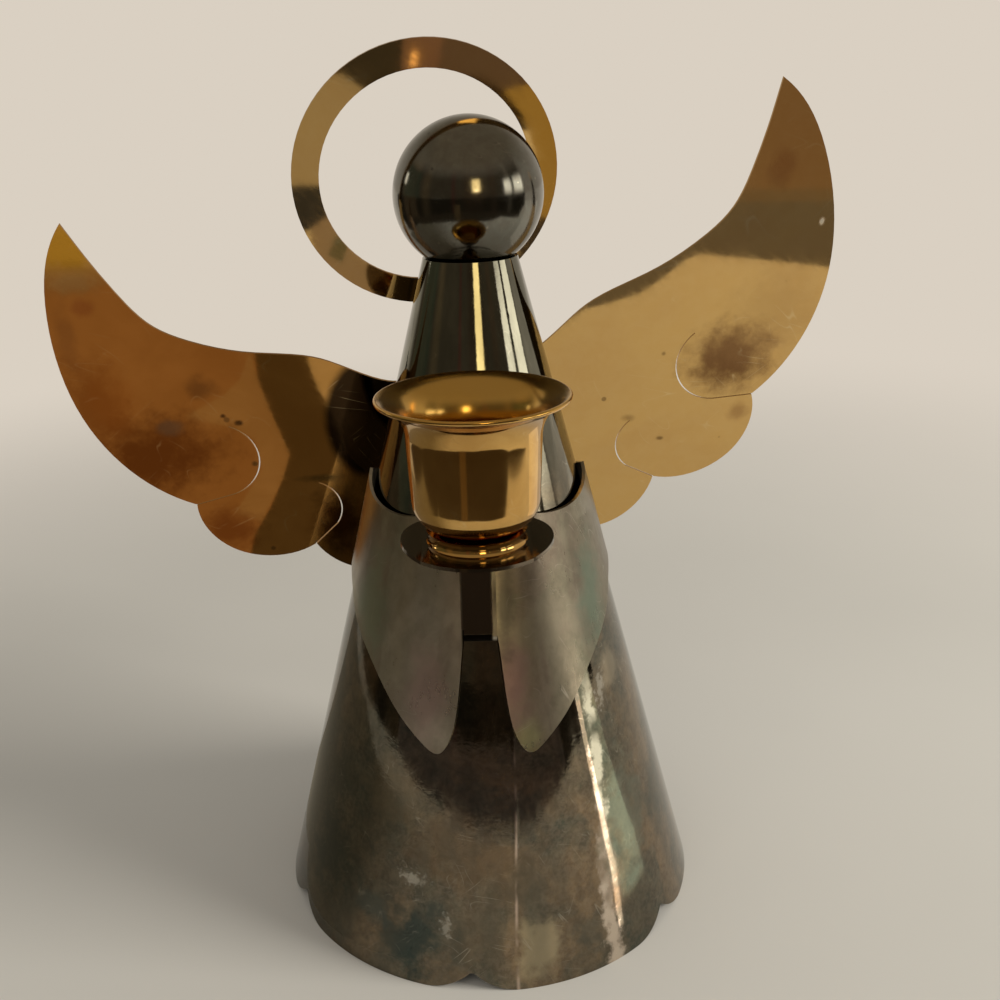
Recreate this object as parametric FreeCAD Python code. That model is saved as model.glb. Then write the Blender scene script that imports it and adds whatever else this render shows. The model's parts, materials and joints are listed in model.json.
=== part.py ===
import FreeCAD, Part
import math
import os

# A sheet-metal angel that holds one candle. Millimetres, +Z up, the front faces -Y.
# The pieces are made round the gown's axis. The finished origin is on the table,
# below the middle of the whole outline.

# Gown, a tall cone of sheet that is open below
gown_base_radius = 49.2
gown_neck_radius = 10.0
gown_height = 148.8
gown_sheet = 0.7
gown_turn_deg = -4.7
scallop_count = 6
scallop_notch_height = 4.2
scallop_notch_half_width = 10.8
seam_width = 0.3
seam_depth = 0.25

# Head, a hollow ball on the open neck
head_radius = 15.5
head_wall = 0.8
neck_disc_thickness = 1.2
head_boss_radius = 4.2
head_boss_height = 6.0
head_stud_tail = 1.6

# Cape, a second sheet round the gown, with two sleeves and the tab that carries the cup
cape_sheet = 0.7
cape_gap_low = 0.35
cape_gap_high = 1.0
cape_top_z = 103.0
cape_side_drop = 22.0
cape_back_rise = 7.0
neckline_count = 4
neckline_dip = 4.5
sleeve_drop = 30.1
tab_half_width = 3.4
tab_slot_drop = 26.8
tab_root_height = 3.0
tab_fold_radius = 0.95
tab_bend_radius = 1.3
tab_overlap = 2.0
cup_plate_radius = 14.65
cup_plate_drop = 1.4
cup_forward = 39.85
flap_fold_offset = 10.3
flap_rise_deg = 7.0

# Sleeve outline, as shares of the cape's side radius and of the sleeve's drop
sleeve_outline_shares = [
    (1.0, 0.0), (0.97, 0.116), (0.952, 0.215), (0.89, 0.355), (0.819, 0.468),
    (0.717, 0.631), (0.594, 0.797), (0.466, 0.925), (0.336, 1.0), (0.238, 0.88),
    (0.188, 0.7), (0.159, 0.5), (0.138, 0.31),
]

# Rivets that hold the cape's two ends to the gown
rivet_turn_deg = 25.0
rivet_drop = 7.5
rivet_shank_radius = 1.0
rivet_head_radius = 1.7
rivet_head_height = 0.7
rivet_tail_radius = 1.6
rivet_tail_height = 0.6
cape_slit_width = 0.4

# Candle cup and the turned foot under it
cup_bore_radius = 11.4
cup_wall = 0.8
cup_top_radius = 12.65
cup_corner_radius = 6.1
cup_body_height = 18.0
cup_inner_flare_drop = 1.2
cup_rim_radius = 18.0
cup_rim_height = 25.0
cup_rim_sheet = 0.75
cup_rim_round = 0.12
cup_foot_radius = 9.6
cup_foot_waist = 0.5
cup_foot_height = 2.4

# Wings and halo, one flat plate that turns on a screw at the back of the gown
pivot_over_cape = 10.6
wing_turn_deg = 7.4
wing_rest_roll_deg = 8.7
wing_stop_roll_deg = 10.0
plate_sheet = 0.6
wing_reach = 88.3
wing_rise = 58.2
wing_drop = 47.6
halo_over_head = 2.8
halo_outer_radius = 28.0
halo_band = 5.7
halo_neck_half_width = 6.5
slit_width = 0.3
slit_arc_radius = 10.3
low_slit_arc_radius = 8.6

# Wing outline, as shares of its reach and of its rise above or drop below the pivot
wing_top_shares = [
    (0.079, 0.27), (0.15, 0.105), (0.235, 0.15), (0.358, 0.277), (0.528, 0.36),
    (0.66, 0.452), (0.742, 0.55), (0.793, 0.688), (0.835, 0.853), (0.866, 1.0),
]
wing_outer_shares = [
    (0.866, 1.0), (0.915, 0.912), (0.974, 0.7), (1.0, 0.475), (0.997, 0.25), (0.958, 0.032),
]
wing_outer_low_shares = [(0.879, -0.2), (0.788, -0.349)]
middle_lobe_shares = [(0.788, -0.349), (0.784, -0.505), (0.727, -0.675), (0.629, -0.766), (0.497, -0.742)]
inner_lobe_shares = [
    (0.497, -0.742), (0.461, -0.862), (0.391, -0.966), (0.308, -1.0), (0.215, -0.95),
    (0.135, -0.79), (0.07, -0.62), (0.0, -0.54),
]
slit_centre_shares = (0.697, -0.116)
slit_start_deg = 122.0
slit_end_deg = 268.0
low_slit_centre_shares = (0.494, -0.517)
low_slit_start_deg = 122.0
low_slit_end_deg = 222.0

# Fasteners
screw_radius = 1.5
screw_head_radius = 2.75
screw_head_height = 1.7
screw_slot_width = 0.7
screw_slot_depth = 0.8
screw_tail = 1.2
wing_screw_head_radius = 3.4
wing_screw_head_height = 2.2
nut_across_flats = 5.5
nut_sides = 6
nut_height = 2.4
washer_radius = 3.5
washer_thickness = 0.5
wing_spacer_radius = 4.0
wing_spacer_length = 2.0

# Clearances and the overrun of every cut
hole_clearance = 0.1
thread_clearance = 0.03
pivot_clearance = 0.05
seat_gap = 0.05
overrun = 2.0

X_AXIS = FreeCAD.Vector(1, 0, 0)
Y_AXIS = FreeCAD.Vector(0, 1, 0)
Z_AXIS = FreeCAD.Vector(0, 0, 1)
ORIGIN = FreeCAD.Vector(0, 0, 0)
full_turn = 360.0
quarter_turn = 90.0

gown_slope = math.atan2(gown_base_radius - gown_neck_radius, gown_height)
gown_slope_deg = math.degrees(gown_slope)
gown_wall_across = gown_sheet / math.cos(gown_slope)
cape_side_z = cape_top_z - cape_side_drop
tab_slot_top_z = cape_top_z - tab_slot_drop
cup_plate_top_z = cape_top_z - cup_plate_drop
rivet_z = cape_top_z - rivet_drop
pivot_z = cape_top_z + pivot_over_cape
clear_hole_radius = screw_radius + hole_clearance
thread_hole_radius = screw_radius + thread_clearance


def gown_radius(z):
    """Outer radius of the gown at a height."""
    return gown_base_radius - (gown_base_radius - gown_neck_radius) * z / gown_height


def gown_inner_radius(z):
    return gown_radius(z) - gown_wall_across


def cone(radius_at, low, high):
    """A solid cone whose radius at each height comes from a function."""
    return Part.makeCone(radius_at(low), radius_at(high), high - low, FreeCAD.Vector(0, 0, low))


def cylinder_y(radius, start, end):
    """A cylinder along +Y between two places."""
    return Part.makeCylinder(radius, end - start, FreeCAD.Vector(0, start, 0), Y_AXIS)


def cylinder_z(radius, low, high, y=0.0):
    return Part.makeCylinder(radius, high - low, FreeCAD.Vector(0, y, low))


def turned(shape, degrees, axis=Z_AXIS):
    """A copy of a shape, turned about an axis through the origin."""
    copy = shape.copy()
    copy.rotate(ORIGIN, axis, degrees)
    return copy


def on_gown_back(shape, z, turn_deg):
    """Carry a shape from its own frame to the gown's outer face: its Z runs up the slope
    and its Y points straight out of the sheet, turn_deg round from the back."""
    copy = turned(shape, gown_slope_deg, X_AXIS)
    copy.translate(FreeCAD.Vector(0, gown_radius(z), z))
    return turned(copy, turn_deg)


def spline(points):
    curve = Part.BSplineCurve()
    curve.interpolate([FreeCAD.Vector(*point) for point in points])
    return curve.toShape()


def arc(start, middle, end):
    return Part.Arc(FreeCAD.Vector(*start), FreeCAD.Vector(*middle), FreeCAD.Vector(*end)).toShape()


def line(start, end):
    return Part.makeLine(FreeCAD.Vector(*start), FreeCAD.Vector(*end))


def revolved(edges):
    """A solid of revolution about Z from a closed outline in the XZ plane."""
    return Part.Face(Part.Wire(edges)).revolve(ORIGIN, Z_AXIS, full_turn)


# Gown
def hem_notch():
    """The pointed arch between two scallops, long enough to pass through the sheet."""
    width = scallop_notch_half_width
    height = scallop_notch_height
    radius = (width ** 2 + height ** 2) / (2 * height)
    sweep = math.atan2(width, radius - height)
    shoulder = width - radius * math.sin(sweep / 2)
    step = radius - radius * math.cos(sweep / 2)
    edges = [
        line((-width, 0, -overrun), (-width, 0, 0)),
        arc((-width, 0, 0), (-shoulder, 0, step), (0, 0, height)),
        arc((0, 0, height), (shoulder, 0, step), (width, 0, 0)),
        line((width, 0, 0), (width, 0, -overrun)),
        line((width, 0, -overrun), (-width, 0, -overrun)),
    ]
    reach = FreeCAD.Vector(0, -gown_base_radius - overrun, 0)
    return Part.Face(Part.Wire(edges)).extrude(reach)


def seam_groove():
    length = gown_height / math.cos(gown_slope)
    corner = FreeCAD.Vector(-seam_width / 2, -seam_depth, -overrun)
    return Part.makeBox(seam_width, seam_depth + overrun, length + 2 * overrun, corner)


def make_gown():
    shell = cone(gown_radius, 0, gown_height)
    shell = shell.cut(cone(gown_inner_radius, -overrun, gown_height + overrun))
    notch = hem_notch()
    for index in range(scallop_count):
        shell = shell.cut(turned(notch, gown_turn_deg + index * full_turn / scallop_count))
    shell = shell.cut(on_gown_back(seam_groove(), 0, gown_turn_deg))
    shell = shell.cut(on_gown_back(cylinder_y(clear_hole_radius, -overrun, overrun), pivot_z, wing_turn_deg))
    rivet_hole = cylinder_y(rivet_shank_radius + hole_clearance, -overrun, overrun)
    for side in (-1, 1):
        shell = shell.cut(on_gown_back(rivet_hole, rivet_z, side * rivet_turn_deg))
    return shell


# Head and neck
neck_inner_radius = gown_inner_radius(gown_height)
head_z = gown_height + math.sqrt((head_radius + seat_gap) ** 2 - neck_inner_radius ** 2)
halo_centre_height = (head_z + halo_over_head - pivot_z) / math.cos(gown_slope)
head_bottom_z = head_z - head_radius
neck_disc_top = head_bottom_z - seat_gap
neck_disc_low = neck_disc_top - neck_disc_thickness
head_washer_low = neck_disc_low - washer_thickness
head_nut_low = head_washer_low - nut_height


def make_head_ball():
    centre = FreeCAD.Vector(0, 0, head_z)
    ball = Part.makeSphere(head_radius, centre).cut(Part.makeSphere(head_radius - head_wall, centre))
    return ball.cut(cylinder_z(clear_hole_radius, head_bottom_z - overrun, head_z))


def make_head_boss():
    centre = FreeCAD.Vector(0, 0, head_z)
    boss = cylinder_z(head_boss_radius, head_bottom_z, head_bottom_z + head_boss_height)
    boss = boss.common(Part.makeSphere(head_radius - head_wall - seat_gap, centre))
    return boss.cut(cylinder_z(thread_hole_radius, head_bottom_z - overrun, head_z))


def make_neck_disc():
    def edge_radius(z):
        return gown_inner_radius(z) - seat_gap
    disc = cone(edge_radius, neck_disc_low, neck_disc_top)
    return disc.cut(cylinder_z(clear_hole_radius, neck_disc_low - overrun, neck_disc_top + overrun))


def make_head_stud():
    return cylinder_z(screw_radius, head_nut_low - head_stud_tail, head_bottom_z + head_boss_height)


# Fasteners, each along its own Z
def washer(outer_radius, inner_radius, thickness):
    ring = cylinder_z(outer_radius, 0, thickness)
    return ring.cut(cylinder_z(inner_radius, -overrun, thickness + overrun))


def hex_nut():
    corner = nut_across_flats / 2 / math.cos(math.pi / nut_sides)
    points = []
    for index in range(nut_sides + 1):
        angle = math.radians(index * full_turn / nut_sides)
        points.append(FreeCAD.Vector(corner * math.cos(angle), corner * math.sin(angle), 0))
    nut = Part.Face(Part.makePolygon(points)).extrude(FreeCAD.Vector(0, 0, nut_height))
    return nut.cut(cylinder_z(thread_hole_radius, -overrun, nut_height + overrun))


def dome(base_radius, height):
    """A low round head on its flat base."""
    sphere_radius = (base_radius ** 2 + height ** 2) / (2 * height)
    sphere = Part.makeSphere(sphere_radius, FreeCAD.Vector(0, 0, height - sphere_radius))
    return sphere.common(cylinder_z(base_radius, 0, height + overrun))


def slotted_screw(head_radius_here, head_height_here, length):
    """Head upwards from the origin, shank downwards."""
    head = dome(head_radius_here, head_height_here)
    corner = FreeCAD.Vector(-head_radius_here, -screw_slot_width / 2, head_height_here - screw_slot_depth)
    head = head.cut(Part.makeBox(2 * head_radius_here, screw_slot_width, screw_slot_depth + overrun, corner))
    return head.fuse(cylinder_z(screw_radius, -length, 0)).removeSplitter()


def raised(shape, z, y=0.0):
    copy = shape.copy()
    copy.translate(FreeCAD.Vector(0, y, z))
    return copy


def laid_out(shape, y):
    """Turn a shape from its own Z to +Y and set its base at a place along Y."""
    copy = turned(shape, -quarter_turn, X_AXIS)
    copy.translate(FreeCAD.Vector(0, y, 0))
    return copy


# Cape
cape_wall_across = cape_sheet / math.cos(gown_slope)
cape_low_z = cape_side_z - sleeve_drop


def cape_inner_radius(z):
    share = (z - cape_low_z) / (cape_top_z - cape_low_z)
    return gown_radius(z) + cape_gap_low + (cape_gap_high - cape_gap_low) * share


def cape_outer_radius(z):
    return cape_inner_radius(z) + cape_wall_across


def cape_middle_radius(z):
    return cape_inner_radius(z) + cape_wall_across / 2


def cape_shell(low, high):
    shell = cone(cape_outer_radius, low, high)
    return shell.cut(cone(cape_inner_radius, low - overrun, high + overrun))


def sleeve_prism():
    """Both sleeves with the slot between them, seen from the front."""
    side_radius = cape_outer_radius(cape_side_z)
    right = []
    for across, down in sleeve_outline_shares:
        right.append((across * side_radius, 0, cape_side_z - down * sleeve_drop))
    right.append((tab_half_width, 0, tab_slot_top_z))
    left = [(-x, y, z) for x, y, z in right]
    edges = [
        spline(right),
        line(right[-1], left[-1]),
        spline(left[::-1]),
        line(left[0], right[0]),
    ]
    reach = FreeCAD.Vector(0, -cape_outer_radius(cape_low_z) - overrun, 0)
    return Part.Face(Part.Wire(edges)).extrude(reach)


def back_hem_prism():
    """What is cut away below the cape's lower edge at the back."""
    half = cape_outer_radius(cape_side_z)
    low = cape_side_z - overrun
    edges = [
        arc((-half, 0, cape_side_z), (0, 0, cape_side_z + cape_back_rise), (half, 0, cape_side_z)),
        line((half, 0, cape_side_z), (half, 0, low)),
        line((half, 0, low), (-half, 0, low)),
        line((-half, 0, low), (-half, 0, cape_side_z)),
    ]
    return Part.Face(Part.Wire(edges)).extrude(FreeCAD.Vector(0, half, 0))


def neckline_cutter():
    """A round dip in the neckline, cut straight out from the axis."""
    half_chord = cape_outer_radius(cape_top_z) * math.sin(math.pi / neckline_count)
    radius = (half_chord ** 2 + neckline_dip ** 2) / (2 * neckline_dip)
    cutter = cylinder_y(radius, 0, gown_base_radius)
    return raised(cutter, cape_top_z - neckline_dip + radius)


def tab_path():
    """Middle line of the tab: down in the cape's sheet, folded back up and bent out level."""
    low_y = -cape_middle_radius(tab_slot_top_z)
    high_y = -cape_middle_radius(cape_top_z)
    slope = math.atan2(high_y - low_y, cape_top_z - tab_slot_top_z)
    up = FreeCAD.Vector(0, math.sin(slope), math.cos(slope))
    out = FreeCAD.Vector(0, -math.cos(slope), math.sin(slope))
    fold_start = FreeCAD.Vector(0, low_y, tab_slot_top_z)
    fold_low = fold_start + out * tab_fold_radius - up * tab_fold_radius
    fold_end = fold_start + out * (2 * tab_fold_radius)
    plate_middle_z = cup_plate_top_z - cape_sheet / 2
    bend_start_z = plate_middle_z - tab_bend_radius * (1 + math.sin(slope))
    bend_start = fold_end + up * ((bend_start_z - fold_end.z) / math.cos(slope))
    bend_centre = bend_start + out * tab_bend_radius
    halfway = (quarter_turn + math.degrees(slope)) / 2
    angle = math.radians(quarter_turn - halfway)
    bend_middle = bend_centre + FreeCAD.Vector(0, math.cos(angle), math.sin(angle)) * tab_bend_radius
    bend_end = bend_centre + Z_AXIS * tab_bend_radius
    root = fold_start + up * tab_root_height
    tail = bend_end - Y_AXIS * tab_overlap
    edges = [
        Part.makeLine(root, fold_start),
        Part.Arc(fold_start, fold_low, fold_end).toShape(),
        Part.makeLine(fold_end, bend_start),
        Part.Arc(bend_start, bend_middle, bend_end).toShape(),
        Part.makeLine(bend_end, tail),
    ]
    return Part.Wire(edges), root, up, out, bend_end.y


def make_tab():
    path, root, up, out, bend_end_y = tab_path()
    corner = root - X_AXIS * tab_half_width - out * (cape_sheet / 2)
    across = X_AXIS * (2 * tab_half_width)
    through = out * cape_sheet
    profile = Part.makePolygon([corner, corner + across, corner + across + through, corner + through, corner])
    strip = path.makePipeShell([profile], True, False)
    low = cup_plate_top_z - cape_sheet
    plate = cylinder_z(cup_plate_radius, low, cup_plate_top_z, -cup_forward)
    size = 2 * cup_plate_radius
    behind = FreeCAD.Vector(-tab_half_width, bend_end_y, low - overrun)
    plate = plate.cut(Part.makeBox(2 * tab_half_width, size, size, behind))
    middle_corner = FreeCAD.Vector(-flap_fold_offset, -cup_forward - cup_plate_radius, low - overrun)
    middle_box = Part.makeBox(2 * flap_fold_offset, size, size, middle_corner)
    pieces = plate.common(middle_box)
    for side in (-1, 1):
        start = flap_fold_offset if side > 0 else -flap_fold_offset - size
        flap_corner = FreeCAD.Vector(start, -cup_forward - cup_plate_radius, low - overrun)
        flap = plate.common(Part.makeBox(size, size, size, flap_corner))
        flap.rotate(FreeCAD.Vector(side * flap_fold_offset, 0, low), Y_AXIS, -side * flap_rise_deg)
        pieces = pieces.fuse(flap)
    plate = pieces.cut(cylinder_z(clear_hole_radius, low - overrun, cup_plate_top_z + overrun, -cup_forward))
    return strip.fuse(plate)


def make_cape():
    upper = cape_shell(cape_side_z, cape_top_z)
    upper = upper.cut(back_hem_prism())
    dip = neckline_cutter()
    for index in range(neckline_count):
        upper = upper.cut(turned(dip, (index + 0.5) * full_turn / neckline_count))
    slit_corner = FreeCAD.Vector(-cape_slit_width / 2, 0, cape_side_z)
    upper = upper.cut(Part.makeBox(cape_slit_width, gown_base_radius, gown_height, slit_corner))
    sleeves = cape_shell(cape_low_z, cape_side_z).common(sleeve_prism())
    cape = upper.fuse(sleeves).fuse(make_tab())
    rivet_hole = cylinder_y(rivet_shank_radius + hole_clearance, -overrun, overrun + cape_gap_high + cape_sheet)
    for side in (-1, 1):
        cape = cape.cut(on_gown_back(rivet_hole, rivet_z, side * rivet_turn_deg))
    return cape.removeSplitter()


def make_cape_rivets():
    slope = math.cos(gown_slope)
    outside = (cape_outer_radius(rivet_z) - gown_radius(rivet_z)) * slope
    sag = rivet_head_radius ** 2 / (2 * gown_radius(rivet_z))
    head_seat = outside + seat_gap
    tail_seat = -gown_sheet - sag - seat_gap
    head = laid_out(dome(rivet_head_radius, rivet_head_height), head_seat)
    shank = cylinder_y(rivet_shank_radius, tail_seat, head_seat)
    tail = cylinder_y(rivet_tail_radius, tail_seat - rivet_tail_height, tail_seat)
    rivet = head.fuse(shank).fuse(tail).removeSplitter()
    return Part.makeCompound([on_gown_back(rivet, rivet_z, side * rivet_turn_deg) for side in (-1, 1)])


# Candle cup
cup_base_z = cup_plate_top_z + cup_foot_height


def make_candle_cup():
    low = cup_base_z
    wall = cup_wall
    corner = cup_corner_radius
    low_radius = cup_bore_radius + wall
    inner_corner = corner - wall
    corner_centre = low_radius - corner
    corner_z = low + corner
    flare_z = low + cup_body_height
    rim_z = low + cup_rim_height
    flare_run = cup_rim_radius - cup_top_radius
    flare_rise = rim_z - flare_z
    flare_radius = (flare_run ** 2 + flare_rise ** 2) / (2 * flare_run)
    flare_half = math.asin(flare_rise / flare_radius) / 2
    inner_flare_z = flare_z - cup_inner_flare_drop
    rim_top_z = rim_z + cup_rim_sheet
    rim_top_radius = cup_rim_radius - cup_rim_sheet / 2
    inner_run = rim_top_radius - cup_bore_radius
    inner_rise = rim_top_z - inner_flare_z
    inner_radius = (inner_run ** 2 + inner_rise ** 2) / (2 * inner_run)
    inner_half = math.asin(inner_rise / inner_radius) / 2
    bend = math.sqrt(0.5)

    def flare_middle(start_radius, start_z, radius, half):
        return (start_radius + radius * (1 - math.cos(half)), 0, start_z + radius * math.sin(half))

    edges = [
        line((clear_hole_radius, 0, low), (corner_centre, 0, low)),
        arc((corner_centre, 0, low),
            (corner_centre + corner * bend, 0, corner_z - corner * bend),
            (low_radius, 0, corner_z)),
        line((low_radius, 0, corner_z), (cup_top_radius, 0, flare_z)),
        arc((cup_top_radius, 0, flare_z),
            flare_middle(cup_top_radius, flare_z, flare_radius, flare_half),
            (cup_rim_radius, 0, rim_z)),
        arc((cup_rim_radius, 0, rim_z),
            (cup_rim_radius + cup_rim_round, 0, rim_z + cup_rim_sheet / 2),
            (rim_top_radius, 0, rim_top_z)),
        arc((rim_top_radius, 0, rim_top_z),
            flare_middle(cup_bore_radius, inner_flare_z, inner_radius, inner_half),
            (cup_bore_radius, 0, inner_flare_z)),
        line((cup_bore_radius, 0, inner_flare_z), (cup_bore_radius, 0, corner_z)),
        arc((cup_bore_radius, 0, corner_z),
            (corner_centre + inner_corner * bend, 0, corner_z - inner_corner * bend),
            (corner_centre, 0, low + wall)),
        line((corner_centre, 0, low + wall), (clear_hole_radius, 0, low + wall)),
        line((clear_hole_radius, 0, low + wall), (clear_hole_radius, 0, low)),
    ]
    return raised(revolved(edges), 0, -cup_forward)


def make_cup_foot():
    low = cup_plate_top_z
    high = low + cup_foot_height
    edges = [
        line((clear_hole_radius, 0, low), (cup_foot_radius, 0, low)),
        arc((cup_foot_radius, 0, low),
            (cup_foot_radius - cup_foot_waist, 0, (low + high) / 2),
            (cup_foot_radius, 0, high)),
        line((cup_foot_radius, 0, high), (clear_hole_radius, 0, high)),
        line((clear_hole_radius, 0, high), (clear_hole_radius, 0, low)),
    ]
    return raised(revolved(edges), 0, -cup_forward)


# Wings and halo
def wing_point(shares):
    across, height = shares
    scale = wing_rise if height > 0 else wing_drop
    return (across * wing_reach, 0, height * scale)


def mirrored_edges(edges):
    return [edge.mirror(ORIGIN, X_AXIS) for edge in edges]


def joined(edges):
    return Part.Wire(Part.__sortEdges__(edges))


def slit_cutter(centre_shares, radius, start_deg, end_deg, notch_shares):
    """A thin curved slit that runs out into a notch of the outline."""
    centre = FreeCAD.Vector(*wing_point(centre_shares))
    notch = FreeCAD.Vector(*wing_point(notch_shares))
    depth = plate_sheet + 2 * overrun

    def place(degrees, distance):
        angle = math.radians(degrees)
        return (centre.x + distance * math.cos(angle), -depth / 2, centre.z + distance * math.sin(angle))

    wide = radius + slit_width / 2
    tight = radius - slit_width / 2
    middle_deg = (start_deg + end_deg) / 2
    edges = [
        arc(place(start_deg, wide), place(middle_deg, wide), place(end_deg, wide)),
        line(place(end_deg, wide), place(end_deg, tight)),
        arc(place(end_deg, tight), place(middle_deg, tight), place(start_deg, tight)),
        line(place(start_deg, tight), place(start_deg, wide)),
    ]
    curved = Part.Face(Part.Wire(edges)).extrude(FreeCAD.Vector(0, depth, 0))
    end = math.radians(end_deg)
    start_point = centre + FreeCAD.Vector(math.cos(end), 0, math.sin(end)) * radius
    run = notch - start_point
    straight = Part.makeBox(run.Length + slit_width, depth, slit_width,
                            FreeCAD.Vector(-slit_width / 2, -depth / 2, -slit_width / 2))
    straight.rotate(ORIGIN, -Y_AXIS, math.degrees(math.atan2(run.z, run.x)))
    straight.translate(start_point)
    return curved.fuse(straight)


def make_wing_plate():
    """The plate upright in its own frame, with the pivot at the origin."""
    top = [(halo_neck_half_width, 0, halo_centre_height - halo_outer_radius + halo_band / 2)]
    top += [wing_point(shares) for shares in wing_top_shares]
    outer = [wing_point(shares) for shares in wing_outer_shares + wing_outer_low_shares]
    middle = [wing_point(shares) for shares in middle_lobe_shares]
    inner = [wing_point(shares) for shares in inner_lobe_shares]
    right = [spline(top), spline(outer), spline(middle), spline(inner)]
    bridge = line(top[0], (-halo_neck_half_width, 0, top[0][2]))
    outline = joined(right + mirrored_edges(right) + [bridge])
    plate = Part.Face(outline).extrude(FreeCAD.Vector(0, plate_sheet, 0))
    halo_centre = FreeCAD.Vector(0, 0, halo_centre_height)
    plate = plate.fuse(Part.makeCylinder(halo_outer_radius, plate_sheet, halo_centre, Y_AXIS))
    hole_start = halo_centre - Y_AXIS * overrun
    hole_depth = plate_sheet + 2 * overrun
    plate = plate.cut(Part.makeCylinder(halo_outer_radius - halo_band, hole_depth, hole_start, Y_AXIS))
    plate = plate.cut(cylinder_y(screw_radius + pivot_clearance, -overrun, plate_sheet + overrun))
    slits = [
        slit_cutter(slit_centre_shares, slit_arc_radius, slit_start_deg, slit_end_deg, wing_outer_low_shares[-1]),
        slit_cutter(low_slit_centre_shares, low_slit_arc_radius, low_slit_start_deg, low_slit_end_deg,
                    middle_lobe_shares[-1]),
    ]
    for slit in slits:
        plate = plate.cut(slit).cut(slit.mirror(ORIGIN, X_AXIS))
    return plate.removeSplitter()


# Stack on the pivot, outwards from the gown's outer face
spacer_start = seat_gap
plate_start = spacer_start + wing_spacer_length + seat_gap
plate_end = plate_start + plate_sheet
outer_washer_start = plate_end + seat_gap
wing_head_start = outer_washer_start + washer_thickness
washer_sag = washer_radius ** 2 / (2 * gown_inner_radius(pivot_z))
inner_washer_end = -gown_sheet - washer_sag - seat_gap
wing_nut_end = inner_washer_end - washer_thickness
wing_screw_length = wing_head_start - wing_nut_end + nut_height + screw_tail


def at_pivot(shape):
    return on_gown_back(shape, pivot_z, wing_turn_deg)


def make_wing_parts():
    plate = turned(make_wing_plate(), -wing_rest_roll_deg, Y_AXIS)
    plate.translate(FreeCAD.Vector(0, plate_start, 0))
    hole = screw_radius + pivot_clearance
    screw = slotted_screw(wing_screw_head_radius, wing_screw_head_height, wing_screw_length)
    nut = hex_nut()
    thin = washer(washer_radius, clear_hole_radius, washer_thickness)
    return {
        "wing_plate": at_pivot(plate),
        "wing_spacer": at_pivot(laid_out(washer(wing_spacer_radius, hole, wing_spacer_length), spacer_start)),
        "wing_washer": at_pivot(laid_out(thin, outer_washer_start)),
        "wing_screw": at_pivot(laid_out(screw, wing_head_start)),
        "wing_inner_washer": at_pivot(laid_out(thin, inner_washer_end - washer_thickness)),
        "wing_nut": at_pivot(laid_out(nut, wing_nut_end - nut_height)),
    }


def make_head_parts():
    thin = washer(washer_radius, clear_hole_radius, washer_thickness)
    return {
        "head_ball": make_head_ball(),
        "head_boss": make_head_boss(),
        "head_stud": make_head_stud(),
        "neck_disc": make_neck_disc(),
        "head_washer": raised(thin, head_washer_low),
        "head_nut": raised(hex_nut(), head_nut_low),
    }


def make_cup_parts():
    plate_low = cup_plate_top_z - cape_sheet
    washer_low = plate_low - washer_thickness
    nut_low = washer_low - nut_height
    seat = cup_base_z + cup_wall
    thin = washer(washer_radius, clear_hole_radius, washer_thickness)
    screw = slotted_screw(screw_head_radius, screw_head_height, seat - nut_low + screw_tail)
    return {
        "candle_cup": make_candle_cup(),
        "cup_foot": make_cup_foot(),
        "cup_screw": raised(screw, seat, -cup_forward),
        "cup_washer": raised(thin, washer_low, -cup_forward),
        "cup_nut": raised(hex_nut(), nut_low, -cup_forward),
    }


def report_swivel(parts, to_origin):
    """Print the swivel's place and how far the halo stays from the head over its range."""
    pivot = at_pivot(Part.Vertex(0, plate_start, 0)).Point + to_origin
    front = pivot - to_origin - at_pivot(Part.Vertex(0, plate_end, 0)).Point
    front.normalize()
    print("pivot", [round(value, 3) for value in pivot], "axis", [round(value, 5) for value in front])
    for roll in (-wing_stop_roll_deg, 0, wing_rest_roll_deg, wing_stop_roll_deg):
        plate = parts["wing_plate"].copy()
        plate.rotate(pivot, front, roll - wing_rest_roll_deg)
        gap = plate.distToShape(parts["head_ball"])[0]
        print("roll", roll, "halo to head", round(gap, 3), "mm")


def main():
    parts = {"gown": make_gown(), "cape": make_cape(), "cape_rivets": make_cape_rivets()}
    parts.update(make_head_parts())
    parts.update(make_cup_parts())
    parts.update(make_wing_parts())
    whole = Part.makeCompound(list(parts.values())).optimalBoundingBox(False)
    to_origin = FreeCAD.Vector(-whole.Center.x, -whole.Center.y, 0)
    print("gown axis at", round(to_origin.x, 3), round(to_origin.y, 3))
    os.makedirs("parts", exist_ok=True)
    for name, shape in parts.items():
        shape.translate(to_origin)
        shape.exportStep("parts/" + name + ".step")
        box = shape.BoundBox
        print(name, len(shape.Solids), "solids", round(shape.Volume, 2), "mm3, valid", shape.isValid(),
              "z", round(box.ZMin, 2), round(box.ZMax, 2))
    report_swivel(parts, to_origin)


main()
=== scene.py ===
import math
import json
import bpy
from mathutils import Matrix, Vector
from mathutils.bvhtree import BVHTree

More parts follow.
